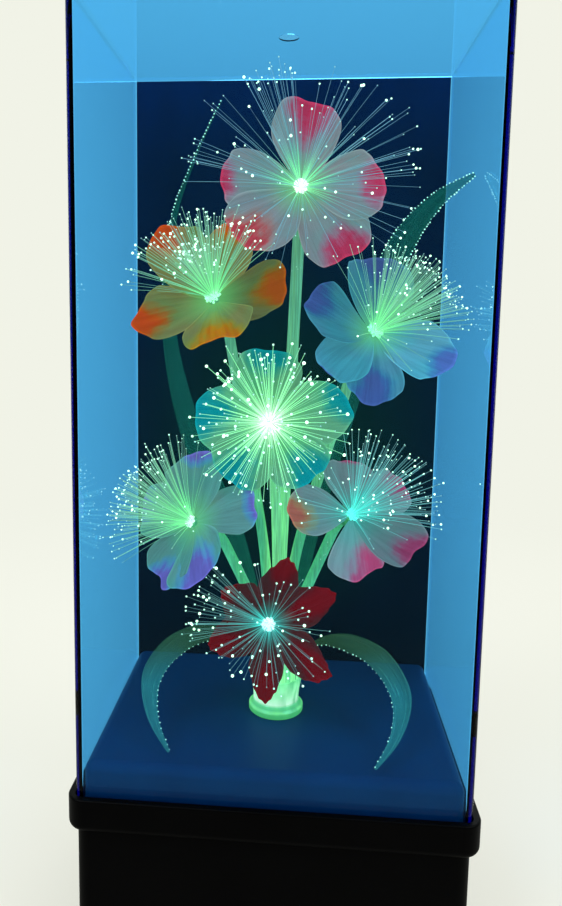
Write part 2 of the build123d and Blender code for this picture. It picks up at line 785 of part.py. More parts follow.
def rocker():
    """Shallow V rocker on two trunnions, resting with its upper end pressed in."""
    half = rocker_length / 2
    rise = half * tan(radians(rocker_tilt)) - rocker_hollow
    depth = rocker_pivot_depth
    keel = half * rocker_keel_share
    profile = Polyline((0, 0, -rocker_hollow), (0, half, rise), (0, half, -depth),
                       (0, keel, -2 * depth), (0, -keel, -2 * depth),
                       (0, -half, -depth), (0, -half, rise), close=True)
    paddle = extrude(make_face(profile), rocker_width / 2, dir=(1, 0, 0), both=True)
    length = rocker_width + 2 * trunnion_length
    paddle += Pos(0, 0, -depth) * Rot(0, 90, 0) * Cylinder(trunnion_radius, length)
    tilted = Rot(-rocker_tilt, 0, 0) * (Pos(0, 0, depth) * paddle)
    raised = Pos(0, 0, bezel_thickness - depth) * tilted
    return rear_place(raised, -rear_fitting_offset)


def power_inlet():
    barrel = Pos(0, 0, -inlet_length / 2) * Cylinder(inlet_radius, inlet_length)
    flange = Pos(0, 0, inlet_flange_thickness / 2) * Cylinder(
        inlet_flange_radius, inlet_flange_thickness)
    jack = barrel + flange
    jack -= tube_between(inlet_bore, -inlet_bore_depth, inlet_flange_thickness + overcut)
    jack += tube_between(inlet_pin_radius, -inlet_bore_depth, -inlet_pin_drop)
    return rear_place(jack, rear_fitting_offset)


def leads():
    """Two-core leads inside the base, along the rear wall and under the wheel."""
    x = rear_fitting_offset
    z = rear_fitting_height
    switch_back = rear_face - switch_depth
    inlet_back = rear_face - inlet_length
    side = holder_width / 2
    plug_z = holder_base + holder_height / 2
    rim = wheel_radius + lead_wheel_gap
    motor_z = motor_bottom + motor_height / 2
    split = lead_split
    routes = {
        "lead_inlet_switch": [
            (x, inlet_back, z), (x, inlet_back - lead_exit, z),
            (x / 2, inlet_back - lead_stand_off, z + lead_rise),
            (-x / 2, switch_back - lead_stand_off, z + lead_rise),
            (-x - split, switch_back - lead_exit, z), (-x - split, switch_back, z)],
        "lead_switch_lamp": [
            (-x + split, switch_back, z - split),
            (-x + split, switch_back - lead_stand_off, z - split),
            (-x / 2 - lead_side_run, x / 4, plug_z + split),
            (-side - lead_side_run, split, plug_z), (-side, split, plug_z)],
        "lead_lamp_motor": [
            (side, -split, plug_z), (side + lead_side_run, -split, plug_z),
            (side + 2 * lead_side_run, -x / 2 - lead_side_run, plug_z + lead_rise),
            (lead_riser_x, -rim, wheel_bottom - lead_riser_drop),
            (lead_riser_x, -rim, wheel_top + lead_riser_rise),
            (wheel_offset, -motor_radius - lead_motor_run, motor_z),
            (wheel_offset, -motor_radius, motor_z)],
    }
    return {node: rod_along([Vector(*point) for point in route], lead_radius)
            for node, route in routes.items()}


def main():
    os.makedirs("parts", exist_ok=True)
    single = {
        "cover_shell": cover_shell, "back_panel": back_panel, "base_housing": base_housing,
        "deck_panel": deck_panel, "base_plate": base_plate, "bundle_collar": bundle_collar,
        "fibre_bundle": fibre_bundle, "bundle_ferrule": bundle_ferrule,
        "wheel_disc": wheel_disc, "motor_shaft": motor_shaft, "motor_body": motor_body,
        "motor_bracket": motor_bracket, "lamp_reflector": lamp_reflector,
        "lamp_capsule": lamp_capsule, "lamp_holder": lamp_holder, "lamp_bracket": lamp_bracket,
        "switch_body": switch_body, "rocker": rocker, "power_inlet": power_inlet,
    }
    groups = {
        "rubber_feet": rubber_feet, "base_screws": base_screws, "motor_screws": motor_screws,
        "lamp_screws": lamp_screws, "colour_filters": colour_filters,
    }
    for node, make in single.items():
        save(make(), node)
    for node, make in groups.items():
        save(Compound(children=make()), node)
    for node, lead in leads().items():
        save(lead, node)
    for letter, flower in FLOWERS.items():
        save(stem(letter), f"stem_{letter}")
        save(calyx(flower), f"calyx_{letter}")
        save(petals(flower), f"petals_{letter}")
        save(Compound(children=spray(flower)), f"spray_{letter}")
    for node, blade in LEAVES.items():
        save(leaf(blade), node)


main()
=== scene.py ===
import json
import math
import random

import bmesh
import bpy
from mathutils import Matrix, Vector, noise

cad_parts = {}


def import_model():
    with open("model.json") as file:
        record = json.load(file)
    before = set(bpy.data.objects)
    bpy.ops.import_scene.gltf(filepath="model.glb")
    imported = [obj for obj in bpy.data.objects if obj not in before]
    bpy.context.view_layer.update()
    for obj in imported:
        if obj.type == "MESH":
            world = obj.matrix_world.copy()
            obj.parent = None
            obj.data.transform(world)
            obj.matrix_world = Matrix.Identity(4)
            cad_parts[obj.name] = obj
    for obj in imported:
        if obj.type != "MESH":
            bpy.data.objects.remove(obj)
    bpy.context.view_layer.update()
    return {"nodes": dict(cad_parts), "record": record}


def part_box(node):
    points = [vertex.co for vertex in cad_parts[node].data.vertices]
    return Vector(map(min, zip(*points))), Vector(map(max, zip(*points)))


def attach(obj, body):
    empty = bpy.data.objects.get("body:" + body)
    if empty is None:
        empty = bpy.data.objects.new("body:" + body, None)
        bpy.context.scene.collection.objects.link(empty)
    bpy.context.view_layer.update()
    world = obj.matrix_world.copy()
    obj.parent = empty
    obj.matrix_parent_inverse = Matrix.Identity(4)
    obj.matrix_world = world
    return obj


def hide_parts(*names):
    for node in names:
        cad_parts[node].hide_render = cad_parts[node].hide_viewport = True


# Fibre optic flower lamp. The tables of shapes are in mm. Everything made is in metres, in the
# CAD frame: +Z up, front towards -Y, origin under the middle of the base.

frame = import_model()
NODES = frame["nodes"]
MM = 0.001
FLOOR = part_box("deck_panel")[1].z / MM
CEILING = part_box("back_panel")[1].z / MM
FULL_TURN = 2 * math.pi
GOLDEN_ANGLE = 2.39996

# Room that the fibres and lights keep to: lowest and highest x, y and z, mm.
ROOM_LOW = Vector((-71.6, -50.6, FLOOR + 1.0))
ROOM_HIGH = Vector((71.6, 49.4, CEILING - 0.8))

# The pale backdrop, and how bright it is where the case's dye colours it.
BACKDROP = (0.88, 0.896, 0.80)
THROUGH_CASE = (0.96, 0.98, 0.98)

# The light that one wall of the case lets through, the wall's thickness in metres, and how
# strongly it and the clear parts in the base bend light.
WALL_TINT = (0.40, 0.77, 0.965)
WALL = 0.0025
CASE_IOR = 1.25
CLEAR_IOR = 1.49


def seen_inside(shown):
    """Light that a surface in the case sends out to look as shown (0 to 1) through its wall."""
    return [((part + 0.055) / 1.055) ** 2.4 / tint for part, tint in zip(shown, WALL_TINT)]


# Shader shorthand

def colour(value):
    return (*value[:3], 1.0)


def put(tree, kind, inputs=(), **settings):
    """New node; inputs gives a socket's value, or the output that is linked to it."""
    made = tree.nodes.new("ShaderNode" + kind)
    for key, value in settings.items():
        setattr(made, key, value)
    for key, value in dict(inputs).items():
        socket = made.inputs[key]
        if isinstance(value, bpy.types.NodeSocket):
            tree.links.new(value, socket)
        else:
            socket.default_value = colour(value) if socket.type == "RGBA" else value
    return made


def new_material(name):
    made = bpy.data.materials.new(name)
    made.use_nodes = True
    made.node_tree.nodes.clear()
    return made, made.node_tree


def show(tree, shader):
    put(tree, "OutputMaterial", {"Surface": shader})


def place(tree, stretch=(1, 1, 1)):
    """Object coordinates in metres, stretched along the axes."""
    where = put(tree, "TexCoord").outputs["Object"]
    return put(tree, "Mapping", {"Vector": where, "Scale": stretch}).outputs["Vector"]


def xyz(tree, vector):
    return put(tree, "SeparateXYZ", {0: vector}).outputs


def vectors(tree, operation, first, second):
    return put(tree, "VectorMath", {0: first, 1: second}, operation=operation).outputs[0]


def joined(tree, stretch, *values):
    """A vector made of values, stretched along the axes."""
    return vectors(tree, "MULTIPLY", put(tree, "CombineXYZ", dict(enumerate(values))).outputs[0],
                   stretch)


def distance(tree, vector):
    return put(tree, "VectorMath", {0: vector}, operation="LENGTH").outputs["Value"]


def named(tree, attribute):
    return put(tree, "Attribute", attribute_name=attribute).outputs["Fac"]


def cloud(tree, vector, scale, detail=2.0, roughness=0.5):
    return put(tree, "TexNoise", {"Vector": vector, "Scale": scale, "Detail": detail,
                                  "Roughness": roughness}).outputs["Fac"]


def cells(tree, vector, scale):
    """Distance from the middle of each cell."""
    return put(tree, "TexVoronoi", {"Vector": vector, "Scale": scale}).outputs["Distance"]


def remap(tree, value, low, high, to_low=0.0, to_high=1.0):
    return put(tree, "MapRange", {"Value": value, "From Min": low, "From Max": high,
                                  "To Min": to_low, "To Max": to_high}).outputs["Result"]


def vary(tree, clouds, to_low, to_high):
    """Spreads the range where nearly all of a noise lies over the two values."""
    return remap(tree, clouds, 0.3, 0.7, to_low, to_high)


def by_height(tree, height, low, high, to_low=0.0, to_high=1.0):
    """Goes from one value to the other between two heights above the floor, mm."""
    return remap(tree, height, (FLOOR + low) * MM, (FLOOR + high) * MM, to_low, to_high)


def sums(tree, operation, first, second=0.0, third=0.0):
    return put(tree, "Math", {0: first, 1: second, 2: third}, operation=operation).outputs[0]


def times(tree, first, second):
    return sums(tree, "MULTIPLY", first, second)


def ramp(tree, factor, *stops):
    made = put(tree, "ValToRGB", {"Fac": factor})
    elements = made.color_ramp.elements
    elements.remove(elements[1])
    elements[0].position = stops[0][0]
    elements[0].color = colour(stops[0][1])
    for position, value in stops[1:]:
        elements.new(position).color = colour(value)
    return made.outputs["Color"]


def shown_by_height(tree, height, reach, tones):
    """Tones as they show through the case, from the floor up to the reach, mm."""
    return ramp(tree, by_height(tree, height, 0, reach),
                *((stop, seen_inside(tone)) for stop, tone in tones))


def mingle(tree, mode, factor, first, second):
    """Mix node for colours."""
    made = put(tree, "Mix", data_type="RGBA", blend_type=mode)
    for index, value in ((0, factor), (6, first), (7, second)):
        if isinstance(value, bpy.types.NodeSocket):
            tree.links.new(value, made.inputs[index])
        else:
            made.inputs[index].default_value = value if index == 0 else colour(value)
    return made.outputs[2]


def shaded(tree, tone, factor):
    """The tone, made darker or lighter by a factor that changes over the surface."""
    return mingle(tree, "MULTIPLY", 1.0, tone, factor)


def raised(tree, height, depth):
    """Bump, with its depth in metres."""
    return put(tree, "Bump", {"Height": height, "Distance": depth}).outputs["Normal"]


def principled(tree, inputs):
    return put(tree, "BsdfPrincipled", inputs).outputs[0]


def faced(made, inputs):
    """The material, with a principled surface of these inputs."""
    show(made.node_tree, principled(made.node_tree, inputs))
    return made


def either(tree, factor, first, second):
    """The first shader where the factor is 0, the second where it is 1."""
    return put(tree, "MixShader", {0: factor, 1: first, 2: second}).outputs[0]


def light_path(tree):
    return put(tree, "LightPath").outputs


def tinted_shadow(tree, glass, tint):
    """The glass, with a shadow that is only its tint."""
    air = put(tree, "BsdfTransparent", {"Color": tint}).outputs[0]
    return either(tree, light_path(tree)["Is Shadow Ray"], glass, air)


# Surfaces of the CAD nodes

def moulded(name, base, roughness, grain=2600, depth=0.00003, drift=0.25, metallic=0.0,
            stretch=(1, 1, 1), shine=0.5):
    """Opaque plastic, rubber or metal: fine grain, a drift of colour and a smeared sheen."""
    made, tree = new_material(name)
    fine = cloud(tree, place(tree, stretch), grain, 3.0, 0.6)
    broad = cloud(tree, place(tree), 35.0, 4.0, 0.6)
    return faced(made, {
        "Base Color": shaded(tree, base, vary(tree, broad, 1.0 - drift, 1.0 + drift)),
        "Metallic": metallic,
        "Roughness": remap(tree, sums(tree, "ADD", fine, broad), 0.6, 1.4,
                           roughness * 0.85, roughness * 1.2),
        "Specular IOR Level": shine, "Normal": raised(tree, fine, depth)})


def clear_case(name):
    """Blue acrylic, dyed right through, so that its edges and grazed walls are deeper."""
    made, tree = new_material(name)
    glass = principled(tree, {
        "Base Color": (0.985, 0.995, 1.0), "Roughness": 0.0, "IOR": CASE_IOR,
        "Transmission Weight": 1.0})
    air = put(tree, "BsdfTransparent", {"Color": (1, 1, 1)}).outputs[0]
    path = light_path(tree)
    soft = sums(tree, "MAXIMUM", path["Is Shadow Ray"], path["Is Diffuse Ray"])
    losses = [-math.log(part) / WALL for part in WALL_TINT]
    density = max(losses) * 1.01
    dye = put(tree, "VolumeAbsorption", {
        "Color": [1 - loss / density for loss in losses], "Density": density})
    put(tree, "OutputMaterial", {"Surface": either(tree, soft, glass, air),
                                 "Volume": dye.outputs[0]})
    return made


def clear_part(name, tint, roughness):
    """Small clear piece inside the base."""
    made, tree = new_material(name)
    glass = principled(tree, {
        "Base Color": tint, "Roughness": roughness, "IOR": CLEAR_IOR, "Transmission Weight": 0.9})
    show(tree, tinted_shadow(tree, glass, tint))
    return made


# The fibres' green light on the rear sheet: its middle's height above the floor, mm, and the
# distances in metres at which it is full and gone.
SPILL_HEIGHT = 112
SPILL_FULL, SPILL_GONE = 0.025, 0.085


def rear_sheet(name):
    """Black card with painted light that makes it bluer towards the ceiling, with smears, dust and
    the fibres' light in front.
    """
    made, tree = new_material(name)
    where = place(tree)
    # Painted light: the card grows bluer and lighter from the floor up to the ceiling.
    tone = ramp(tree, remap(tree, xyz(tree, where)[2], FLOOR * MM, CEILING * MM),
                (0.0, (0.0005, 0.004, 0.008)), (0.45, (0.0005, 0.011, 0.026)),
                (0.85, (0.0005, 0.012, 0.036)), (1.0, (0.001, 0.018, 0.070)))
    smear = cloud(tree, place(tree, (1, 1, 0.35)), 45.0, 5.0, 0.6)
    speck = cloud(tree, where, 900.0, 2.0)
    tone = shaded(tree, tone, vary(tree, smear, 0.75, 1.2))
    offset = vectors(tree, "SUBTRACT", where, (0, 0, (FLOOR + SPILL_HEIGHT) * MM))
    away = distance(tree, vectors(tree, "MULTIPLY", offset, (1, 0, 0.9)))
    normal = put(tree, "TexCoord").outputs["Normal"]
    in_front = remap(tree, xyz(tree, normal)[1], -0.9, -0.5, 1.0, 0.0)
    spill = times(tree, remap(tree, away, SPILL_FULL, SPILL_GONE, 1.0, 0.0), in_front)
    tone = mingle(tree, "MIX", spill, tone, (0.0003, 0.018, 0.012))
    tone = mingle(tree, "MIX", remap(tree, speck, 0.68, 0.8, 0.0, 0.25), tone, (0.02, 0.05, 0.07))
    return faced(made, {
        "Base Color": tone, "Roughness": 0.55, "Specular IOR Level": 0.03,
        "Emission Color": mingle(tree, "MIX", spill, (0, 0, 0), (0.0, 0.008, 0.001)),
        "Emission Strength": 1.0, "Normal": raised(tree, speck, 0.00002)})


def deck_surface(name):
    """Slate-blue moulded floor: satin, with flow marks and dust."""
    made, tree = new_material(name)
    where = place(tree)
    marks = cloud(tree, place(tree, (1, 0.5, 1)), 30.0, 5.0, 0.55)
    fine = cloud(tree, where, 2400.0, 3.0)
    speck = cloud(tree, where, 700.0, 2.0)
    tone = ramp(tree, marks, (0.3, (0.0005, 0.044, 0.100)), (0.7, (0.001, 0.060, 0.130)))
    tone = mingle(tree, "MIX", remap(tree, speck, 0.68, 0.8, 0.0, 0.2), tone, (0.1, 0.16, 0.2))
    return faced(made, {
        "Base Color": tone, "Roughness": vary(tree, marks, 0.35, 0.5),
        "Specular IOR Level": 0.06, "Normal": raised(tree, fine, 0.000001)})


# Lit collar and tubes: the height over which their tones run, mm; the tones, from the floor up;
# and how strongly both glow.
COLLAR_HEIGHT = 16
COLLAR_TONES = (
    (0.0, (0.22, 0.60, 0.26)), (0.13, (0.28, 0.68, 0.30)), (0.19, (0.46, 0.86, 0.46)),
    (0.24, (0.32, 0.72, 0.34)), (0.29, (0.36, 0.78, 0.40)), (0.36, (0.80, 1.0, 0.85)),
    (0.60, (0.66, 1.0, 0.73)), (1.0, (0.52, 0.97, 0.62)))
STEM_HEIGHT = 230
STEM_TONES = (
    (0.0, (0.60, 1.0, 0.66)), (0.12, (0.52, 0.96, 0.60)), (0.34, (0.45, 0.88, 0.52)),
    (0.55, (0.38, 0.72, 0.45)), (0.75, (0.31, 0.60, 0.41)), (1.0, (0.34, 0.62, 0.42)))
TUBE_LIGHT = 0.95

# Low down, the tubes beside the middle one are dimmer: the distances aside where that starts
# and is full, in metres; the heights above the floor where it fades out, mm; and its tint.
BESIDE_FROM, BESIDE_FULL = 0.0035, 0.0068
BESIDE_LOW, BESIDE_HIGH = 85, 125
BESIDE_TINT = (0.26, 0.50, 0.52)


def glowing_collar(name):
    """Translucent collar lit from inside: pale above, green in the thick flange, with green folds
    painted as shade on its right side.
    """
    made, tree = new_material(name)
    where = place(tree)
    across, _, height = xyz(tree, where)
    cloudy = cloud(tree, where, 260.0, 3.0)
    lit = shaded(tree, shown_by_height(tree, height, COLLAR_HEIGHT, COLLAR_TONES),
                 vary(tree, cloudy, 0.85, 1.1))
    # Painted shade: green folds, none left of the middle, growing over 7 mm to full on the right
    # side.
    folds_and_right_shade = cloud(tree, place(tree, (1, 1, 0.12)), 520.0, 2.0)
    folds_and_right_shade = times(tree, remap(tree, folds_and_right_shade, 0.42, 0.62), remap(tree, across, 0.0, 0.007, 0.0, 0.65))
    lit = mingle(tree, "MIX", folds_and_right_shade, lit, seen_inside((0.22, 0.66, 0.34)))
    return faced(made, {
        "Base Color": (0.16, 0.36, 0.18), "Roughness": 0.25,
        "Emission Color": lit, "Emission Strength": TUBE_LIGHT,
        "Normal": raised(tree, cloudy, 0.00005)})


def glowing_stem(name):
    """Clear tube full of lit fibres: brighter low down, streaked along it, with a few sparks."""
    made, tree = new_material(name)
    where = place(tree)
    across, _, height = xyz(tree, where)
    streak = cloud(tree, place(tree, (1, 1, 0.02)), 1900.0, 2.0, 0.7)
    patch = cloud(tree, place(tree, (1, 1, 0.6)), 70.0, 3.0)
    lit = shown_by_height(tree, height, STEM_HEIGHT, STEM_TONES)
    beside = remap(tree, sums(tree, "ABSOLUTE", across), BESIDE_FROM, BESIDE_FULL)
    beside = times(tree, beside, by_height(tree, height, BESIDE_LOW, BESIDE_HIGH, 1.0, 0.0))
    lit = mingle(tree, "MULTIPLY", beside, lit, BESIDE_TINT)
    lit = shaded(tree, lit, remap(tree, streak, 0.35, 0.65, 0.60, 1.30))
    lit = shaded(tree, lit, vary(tree, patch, 0.75, 1.2))
    hot = remap(tree, cells(tree, where, 620.0), 0.16, 0.06)
    some = remap(tree, cloud(tree, where, 120.0), 0.56, 0.62)
    lit = mingle(tree, "MIX", times(tree, hot, some), lit, seen_inside((0.75, 1.0, 0.85)))
    return faced(made, {
        "Base Color": (0.12, 0.26, 0.18), "Roughness": 0.22,
        "Emission Color": lit, "Emission Strength": TUBE_LIGHT,
        "Normal": raised(tree, streak, 0.00006)})


def halogen_bowl(name):
    """Facetted bright reflector."""
    made, tree = new_material(name)
    facets = cells(tree, place(tree), 420.0)
    return faced(made, {
        "Base Color": (0.86, 0.87, 0.9), "Metallic": 1.0,
        "Roughness": remap(tree, facets, 0.0, 0.6, 0.12, 0.25),
        "Normal": raised(tree, facets, 0.0002)})


# Dyes of the colour wheel's four quarters.
WHEEL_DYES = ((0.05, 0.3, 0.8), (0.75, 0.08, 0.5), (0.1, 0.65, 0.25), (0.85, 0.5, 0.05))


def wheel_filters(name):
    """Four dyed quarters that let light through, in a ring about the motor shaft."""
    made, tree = new_material(name)
    low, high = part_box("colour_filters")
    across, deep, _ = xyz(tree, vectors(tree, "SUBTRACT", place(tree), (low + high) / 2))
    angle = sums(tree, "ARCTAN2", deep, across)
    dye = ramp(tree, remap(tree, angle, -math.pi, math.pi),
               *((index / len(WHEEL_DYES), tone) for index, tone in enumerate(WHEEL_DYES)))
    dye.node.color_ramp.interpolation = "CONSTANT"
    haze = cloud(tree, place(tree), 900.0, 2.0)
    glass = principled(tree, {
        "Base Color": dye, "Roughness": vary(tree, haze, 0.15, 0.3),
        "Transmission Weight": 0.5, "Normal": raised(tree, haze, 0.00002)})
    show(tree, tinted_shadow(tree, glass, dye))
    return made


def lit_fibre_ends(name):
    """Gathered fibres: a pale face of many small round ends."""
    made, tree = new_material(name)
    ends = cells(tree, place(tree, (1, 1, 0.01)), 1500.0)
    lit = ramp(tree, ends, (0.0, (0.9, 1.0, 0.6)), (0.35, (0.5, 0.8, 0.4)), (0.5, (0.1, 0.2, 0.1)))
    return faced(made, {
        "Base Color": (0.75, 0.85, 0.75), "Roughness": 0.3, "Emission Color": lit,
        "Emission Strength": 0.8, "Normal": raised(tree, ends, 0.0001)})


def calyx_green(name):
    """Soft plastic cup with ribs, lit through by the stem."""
    made, tree = new_material(name)
    ribs = cloud(tree, place(tree, (1, 1, 0.1)), 900.0, 2.0)
    tone = ramp(tree, ribs, (0.35, (0.05, 0.20, 0.05)), (0.65, (0.13, 0.34, 0.09)))
    return faced(made, {
        "Base Color": tone, "Roughness": 0.45, "Emission Color": tone,
        "Emission Strength": 0.5, "Normal": raised(tree, ribs, 0.0001)})


# Surfaces of the material slots: a function of their own, the tint and roughness of a clear
# part, or the colour, roughness and other settings of a moulded one.
SURFACES = {
    "case_blue": clear_case, "panel_black": rear_sheet, "deck_blue": deck_surface,
    "collar_glow": glowing_collar, "bundle_glow": lit_fibre_ends, "stem_glow": glowing_stem,
    "calyx_green": calyx_green, "filter_colours": wheel_filters,
    "reflector_bright": halogen_bowl,
}
CLEAR_PARTS = {
    "wheel_clear": ((0.85, 0.88, 0.9), 0.08),
    "capsule_glass": ((0.96, 0.95, 0.92), 0.04),
}
MOULDED_PARTS = {
    "base_black": ((0.0009, 0.0009, 0.001), 0.42, dict(shine=0.05)),
    "plate_black": ((0.016, 0.016, 0.016), 0.55, dict(depth=0.00008)),
    "foot_rubber": ((0.022, 0.022, 0.022), 0.8, dict(grain=1500)),
    "screw_steel": ((0.62, 0.62, 0.64), 0.3, dict(metallic=1.0)),
    "ferrule_brass": ((0.75, 0.55, 0.25), 0.3, dict(metallic=1.0, stretch=(1, 1, 6))),
    "shaft_steel": ((0.65, 0.65, 0.67), 0.22, dict(metallic=1.0, stretch=(1, 1, 5))),
    "motor_zinc": ((0.58, 0.58, 0.56), 0.42, dict(metallic=1.0, stretch=(1, 1, 8))),
    "bracket_steel": ((0.55, 0.56, 0.58), 0.38, dict(metallic=1.0, stretch=(8, 1, 1))),
    "holder_ceramic": ((0.74, 0.71, 0.64), 0.6, dict(depth=0.0001, drift=0.08)),
    "switch_black": ((0.012, 0.012, 0.012), 0.42, {}),
    "rocker_black": ((0.018, 0.018, 0.018), 0.3, {}),
    "inlet_black": ((0.012, 0.012, 0.012), 0.45, {}),
    "lead_black": ((0.02, 0.02, 0.02), 0.6, {}),
}


def surface(name):
    """Material of a slot, or nothing where pieces made here stand for all its nodes."""
    if name in SURFACES:
        return SURFACES[name](name)
    if name in CLEAR_PARTS:
        return clear_part(name, *CLEAR_PARTS[name])
    if name in MOULDED_PARTS:
        base, roughness, settings = MOULDED_PARTS[name]
        return moulded(name, base, roughness, **settings)
    return None


def dress_nodes():
    made = {}
    for part in frame["record"]["subparts"]:
        name = part["material_slot"]
        if name not in made:
            made[name] = surface(name)
        if made[name] is not None:
            mesh = NODES[part["node"]].data
            mesh.materials.clear()
            mesh.materials.append(made[name])


# Meshes made here

def add(name, data):
    made = bpy.data.objects.new(name, data)
    bpy.context.scene.collection.objects.link(made)
    return made


class Build:
    """Vertices given in mm, faces, and float attributes of the vertices."""

    def __init__(self):
        self.points = []
        self.faces = []
        self.values = {}

    def point(self, where, **values):
        self.points.append(Vector(where) * MM)
        for key, value in values.items():
            self.values.setdefault(key, []).append(value)
        return len(self.points) - 1

    def grid(self, rows):
        """Faces between rows of point numbers."""
        for low, high in zip(rows, rows[1:]):
            for a, b, c, d in zip(low, low[1:], high[1:], high):
                self.faces.append((a, b, c, d))

    def piece(self, name, material, slot):
        mesh = bpy.data.meshes.new(name)
        mesh.from_pydata(self.points, [], self.faces)
        for key, values in self.values.items():
            layer = mesh.attributes.new(key, "FLOAT", "POINT")
            layer.data.foreach_set("value", values)
        mesh.shade_smooth()
        mesh.materials.append(material)
        made = add(name, mesh)
        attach(made, "base")
        return made


def thicken(made, thickness):
    """Gives a sheet its thickness, mm, and rounds it with one subdivision."""
    solid = made.modifiers.new("sheet", "SOLIDIFY")
    solid.thickness = thickness * MM
    solid.offset = 0.0
    smooth = made.modifiers.new("smooth", "SUBSURF")
    smooth.render_levels = 1


# Blossoms

# Tones here are as they show through the case.
#   centre   middle of the blossom, z above the floor; facing: where it looks
#   tube     radius of its tube, where that isn't TUBE
#   light    tone of its heart's light on the petals; halo: how far along them that reaches
#   petals   angle round the blossom, reach, half width, height of the tip; where across the tip
#            its dyed patch sits (-1 to 1), how far in that reaches and how deep the tip's notch
#            is (shares); then, where given, how much yellower the dye is and how bright it is
#   tones    pale silk, rim of the patch, middle of the patch
#   pointed  whether the petals end in a toothed point
TUBE = 2.2
WARM = (0.42, 0.86, 0.50)
COOL = (0.16, 0.72, 0.67)
FLOWERS = {
    "a": dict(
        centre=(6, -9, 221.5), facing=(0, -1, 0.15), tube=2.5, slot="petal_pink",
        light=WARM, halo=0.42,
        petals=[(84, 34.5, 13.5, 4, -0.1, 0.52, 0), (170, 33, 12.6, 1, 0.25, 0.22, 0.02, 0, 0.9),
                (228, 33, 14.2, 8, 0, 0.5, 0, 0.4, 0.9), (306, 35, 14, 0, -0.05, 0.42, 0.03),
                (2, 33.3, 13, 4.5, 0.05, 0.32, 0.02)],
        tones=((0.52, 0.58, 0.58), (0.64, 0.40, 0.52), (0.76, 0.20, 0.34))),
    "b": dict(
        centre=(-27.2, -13, 177.5), facing=(-0.25, -0.8, 0.55), slot="petal_orange",
        light=WARM, halo=0.52,
        petals=[(140, 34, 12.5, 15, 0, 0.34, 0.05), (84, 32, 12, 6, 0, 0.26, 0, 0.3),
                (5, 32, 13, 4.5, 0.1, 0.52, 0, 0.55, 0.7),
                (293, 30.5, 15, 10, -0.1, 0.64, 0.15, 1), (207, 32, 13.8, 7, 0.12, 0.44, 0)],
        tones=((0.47, 0.51, 0.29), (0.62, 0.38, 0.0), (0.78, 0.27, 0.0))),
    "c": dict(
        centre=(35.5, -15, 165), facing=(0.3, -0.8, 0.5), slot="petal_violet",
        light=WARM, halo=0.46,
        petals=[(169, 31, 12.7, 9.5, -0.45, 0.46, 0, 0, 0.85), (79, 32, 15, 7, 0, 0.36, 0, 0, 0.8),
                (328, 31, 13, 7.5, -0.2, 0.26, 0, 0, 1.35), (217, 31, 10.5, 3, 0.3, 0.02, 0),
                (256, 32, 11.5, 1, 0, 0.62, 0)],
        tones=((0.29, 0.56, 0.63), (0.18, 0.42, 0.60), (0.27, 0.36, 0.60))),
    "d": dict(
        centre=(-4, -16, 129), facing=(-0.05, -1, 0.1), slot="petal_teal",
        light=WARM, halo=0.55,
        petals=[(91, 30, 13.5, 4, 0, 0.4, 0), (178, 30, 14.4, 1, -0.2, 0.52, 0),
                (234, 29, 12.8, 6, 0, 0.6, 0), (305, 29, 12.6, 6, 0.2, 0.5, 0),
                (13, 32, 12.6, 8, 0.3, 0.34, 0, 0, 1.1)],
        tones=((0.36, 0.66, 0.50), (0.14, 0.60, 0.54), (0.01, 0.54, 0.58))),
    "e": dict(
        centre=(-34.8, -14, 86.2), facing=(-0.6, -0.7, 0.39), slot="petal_lilac",
        light=WARM, halo=0.50,
        petals=[(100, 29, 14.5, 7, -0.1, 0.22, 0.06), (30, 31, 10.5, -5, -0.2, 0.24, 0.08),
                (180, 28, 12, 6, 0, 0.25, 0), (259, 29, 13.2, 4.5, 0.1, 0.42, 0.06),
                (316, 30.5, 16.2, 8, -0.1, 0.72, 0.03)],
        tones=((0.35, 0.58, 0.55), (0.27, 0.56, 0.78), (0.42, 0.38, 0.70))),
    "f": dict(
        centre=(29.3, -13, 91.3), facing=(0.3, -0.87, 0.4), slot="petal_rose",
        light=COOL, halo=0.68,
        petals=[(80, 25, 11.4, -3, 0, 0.12, 0.04, 0, 0.8),
                (24, 28, 10, 2.5, 0.1, 0.34, 0.05, 0, 0.9),
                (325, 30, 11, 9.5, -0.1, 0.36, 0.07, 0, 0.8),
                (280, 26, 13, -3, 0.2, 0.6, 0.09, 0, 1.3), (171, 29, 10.5, 6, 0.3, 0.46, 0, 0.8)],
        tones=((0.46, 0.56, 0.57), (0.56, 0.43, 0.53), (0.68, 0.26, 0.43))),
    "g": dict(
        centre=(-2.6, -21, 47.4), facing=(-0.15, -0.98, 0.1), slot="petal_red",
        light=COOL, halo=0.36, pointed=True,
        petals=[(28, 31, 8.6, 2.5, 0, 0.9, 0), (75, 29.5, 8.6, 3, 0, 0.5, 0, 0.2),
                (150, 24, 9.5, 2, 0, 0.3, 0, 0.4), (208, 28.5, 8.6, 2, 0, 0.6, 0, 0.2),
                (273, 31.5, 7.6, 6, 0, 0.6, 0, 0.2), (325, 32.5, 8.8, 7, 0, 0.7, 0)],
        tones=((0.28, 0.12, 0.11), (0.36, 0.03, 0.06), (0.44, 0.0, 0.03))),
}

# A petal: steps along it and across each half; how far out it starts and its half width there;
# the patch's half width (share of the petal's) and the most that the distance from it counts;
# the silk's thickness and how strongly it glows with painted light.
PETAL_ROWS, PETAL_SIDE = 18, 12
PETAL_ROOT, ROOT_HALF = 1.9, 1.8
PATCH_HALF, PATCH_MOST = 0.72, 4.0
SILK_THICKNESS = 0.3
SILK_LIGHT = 0.62

# Tints of the silk's cooler and warmer places, of a yellower dye, and of a petal's lit rim.
COOLER, WARMER = (0.80, 1.04, 1.0), (1.12, 0.92, 0.98)
YELLOWER = (1.0, 2.4, 0.40)
RIM_TINT = (1.4, 1.4, 1.35)


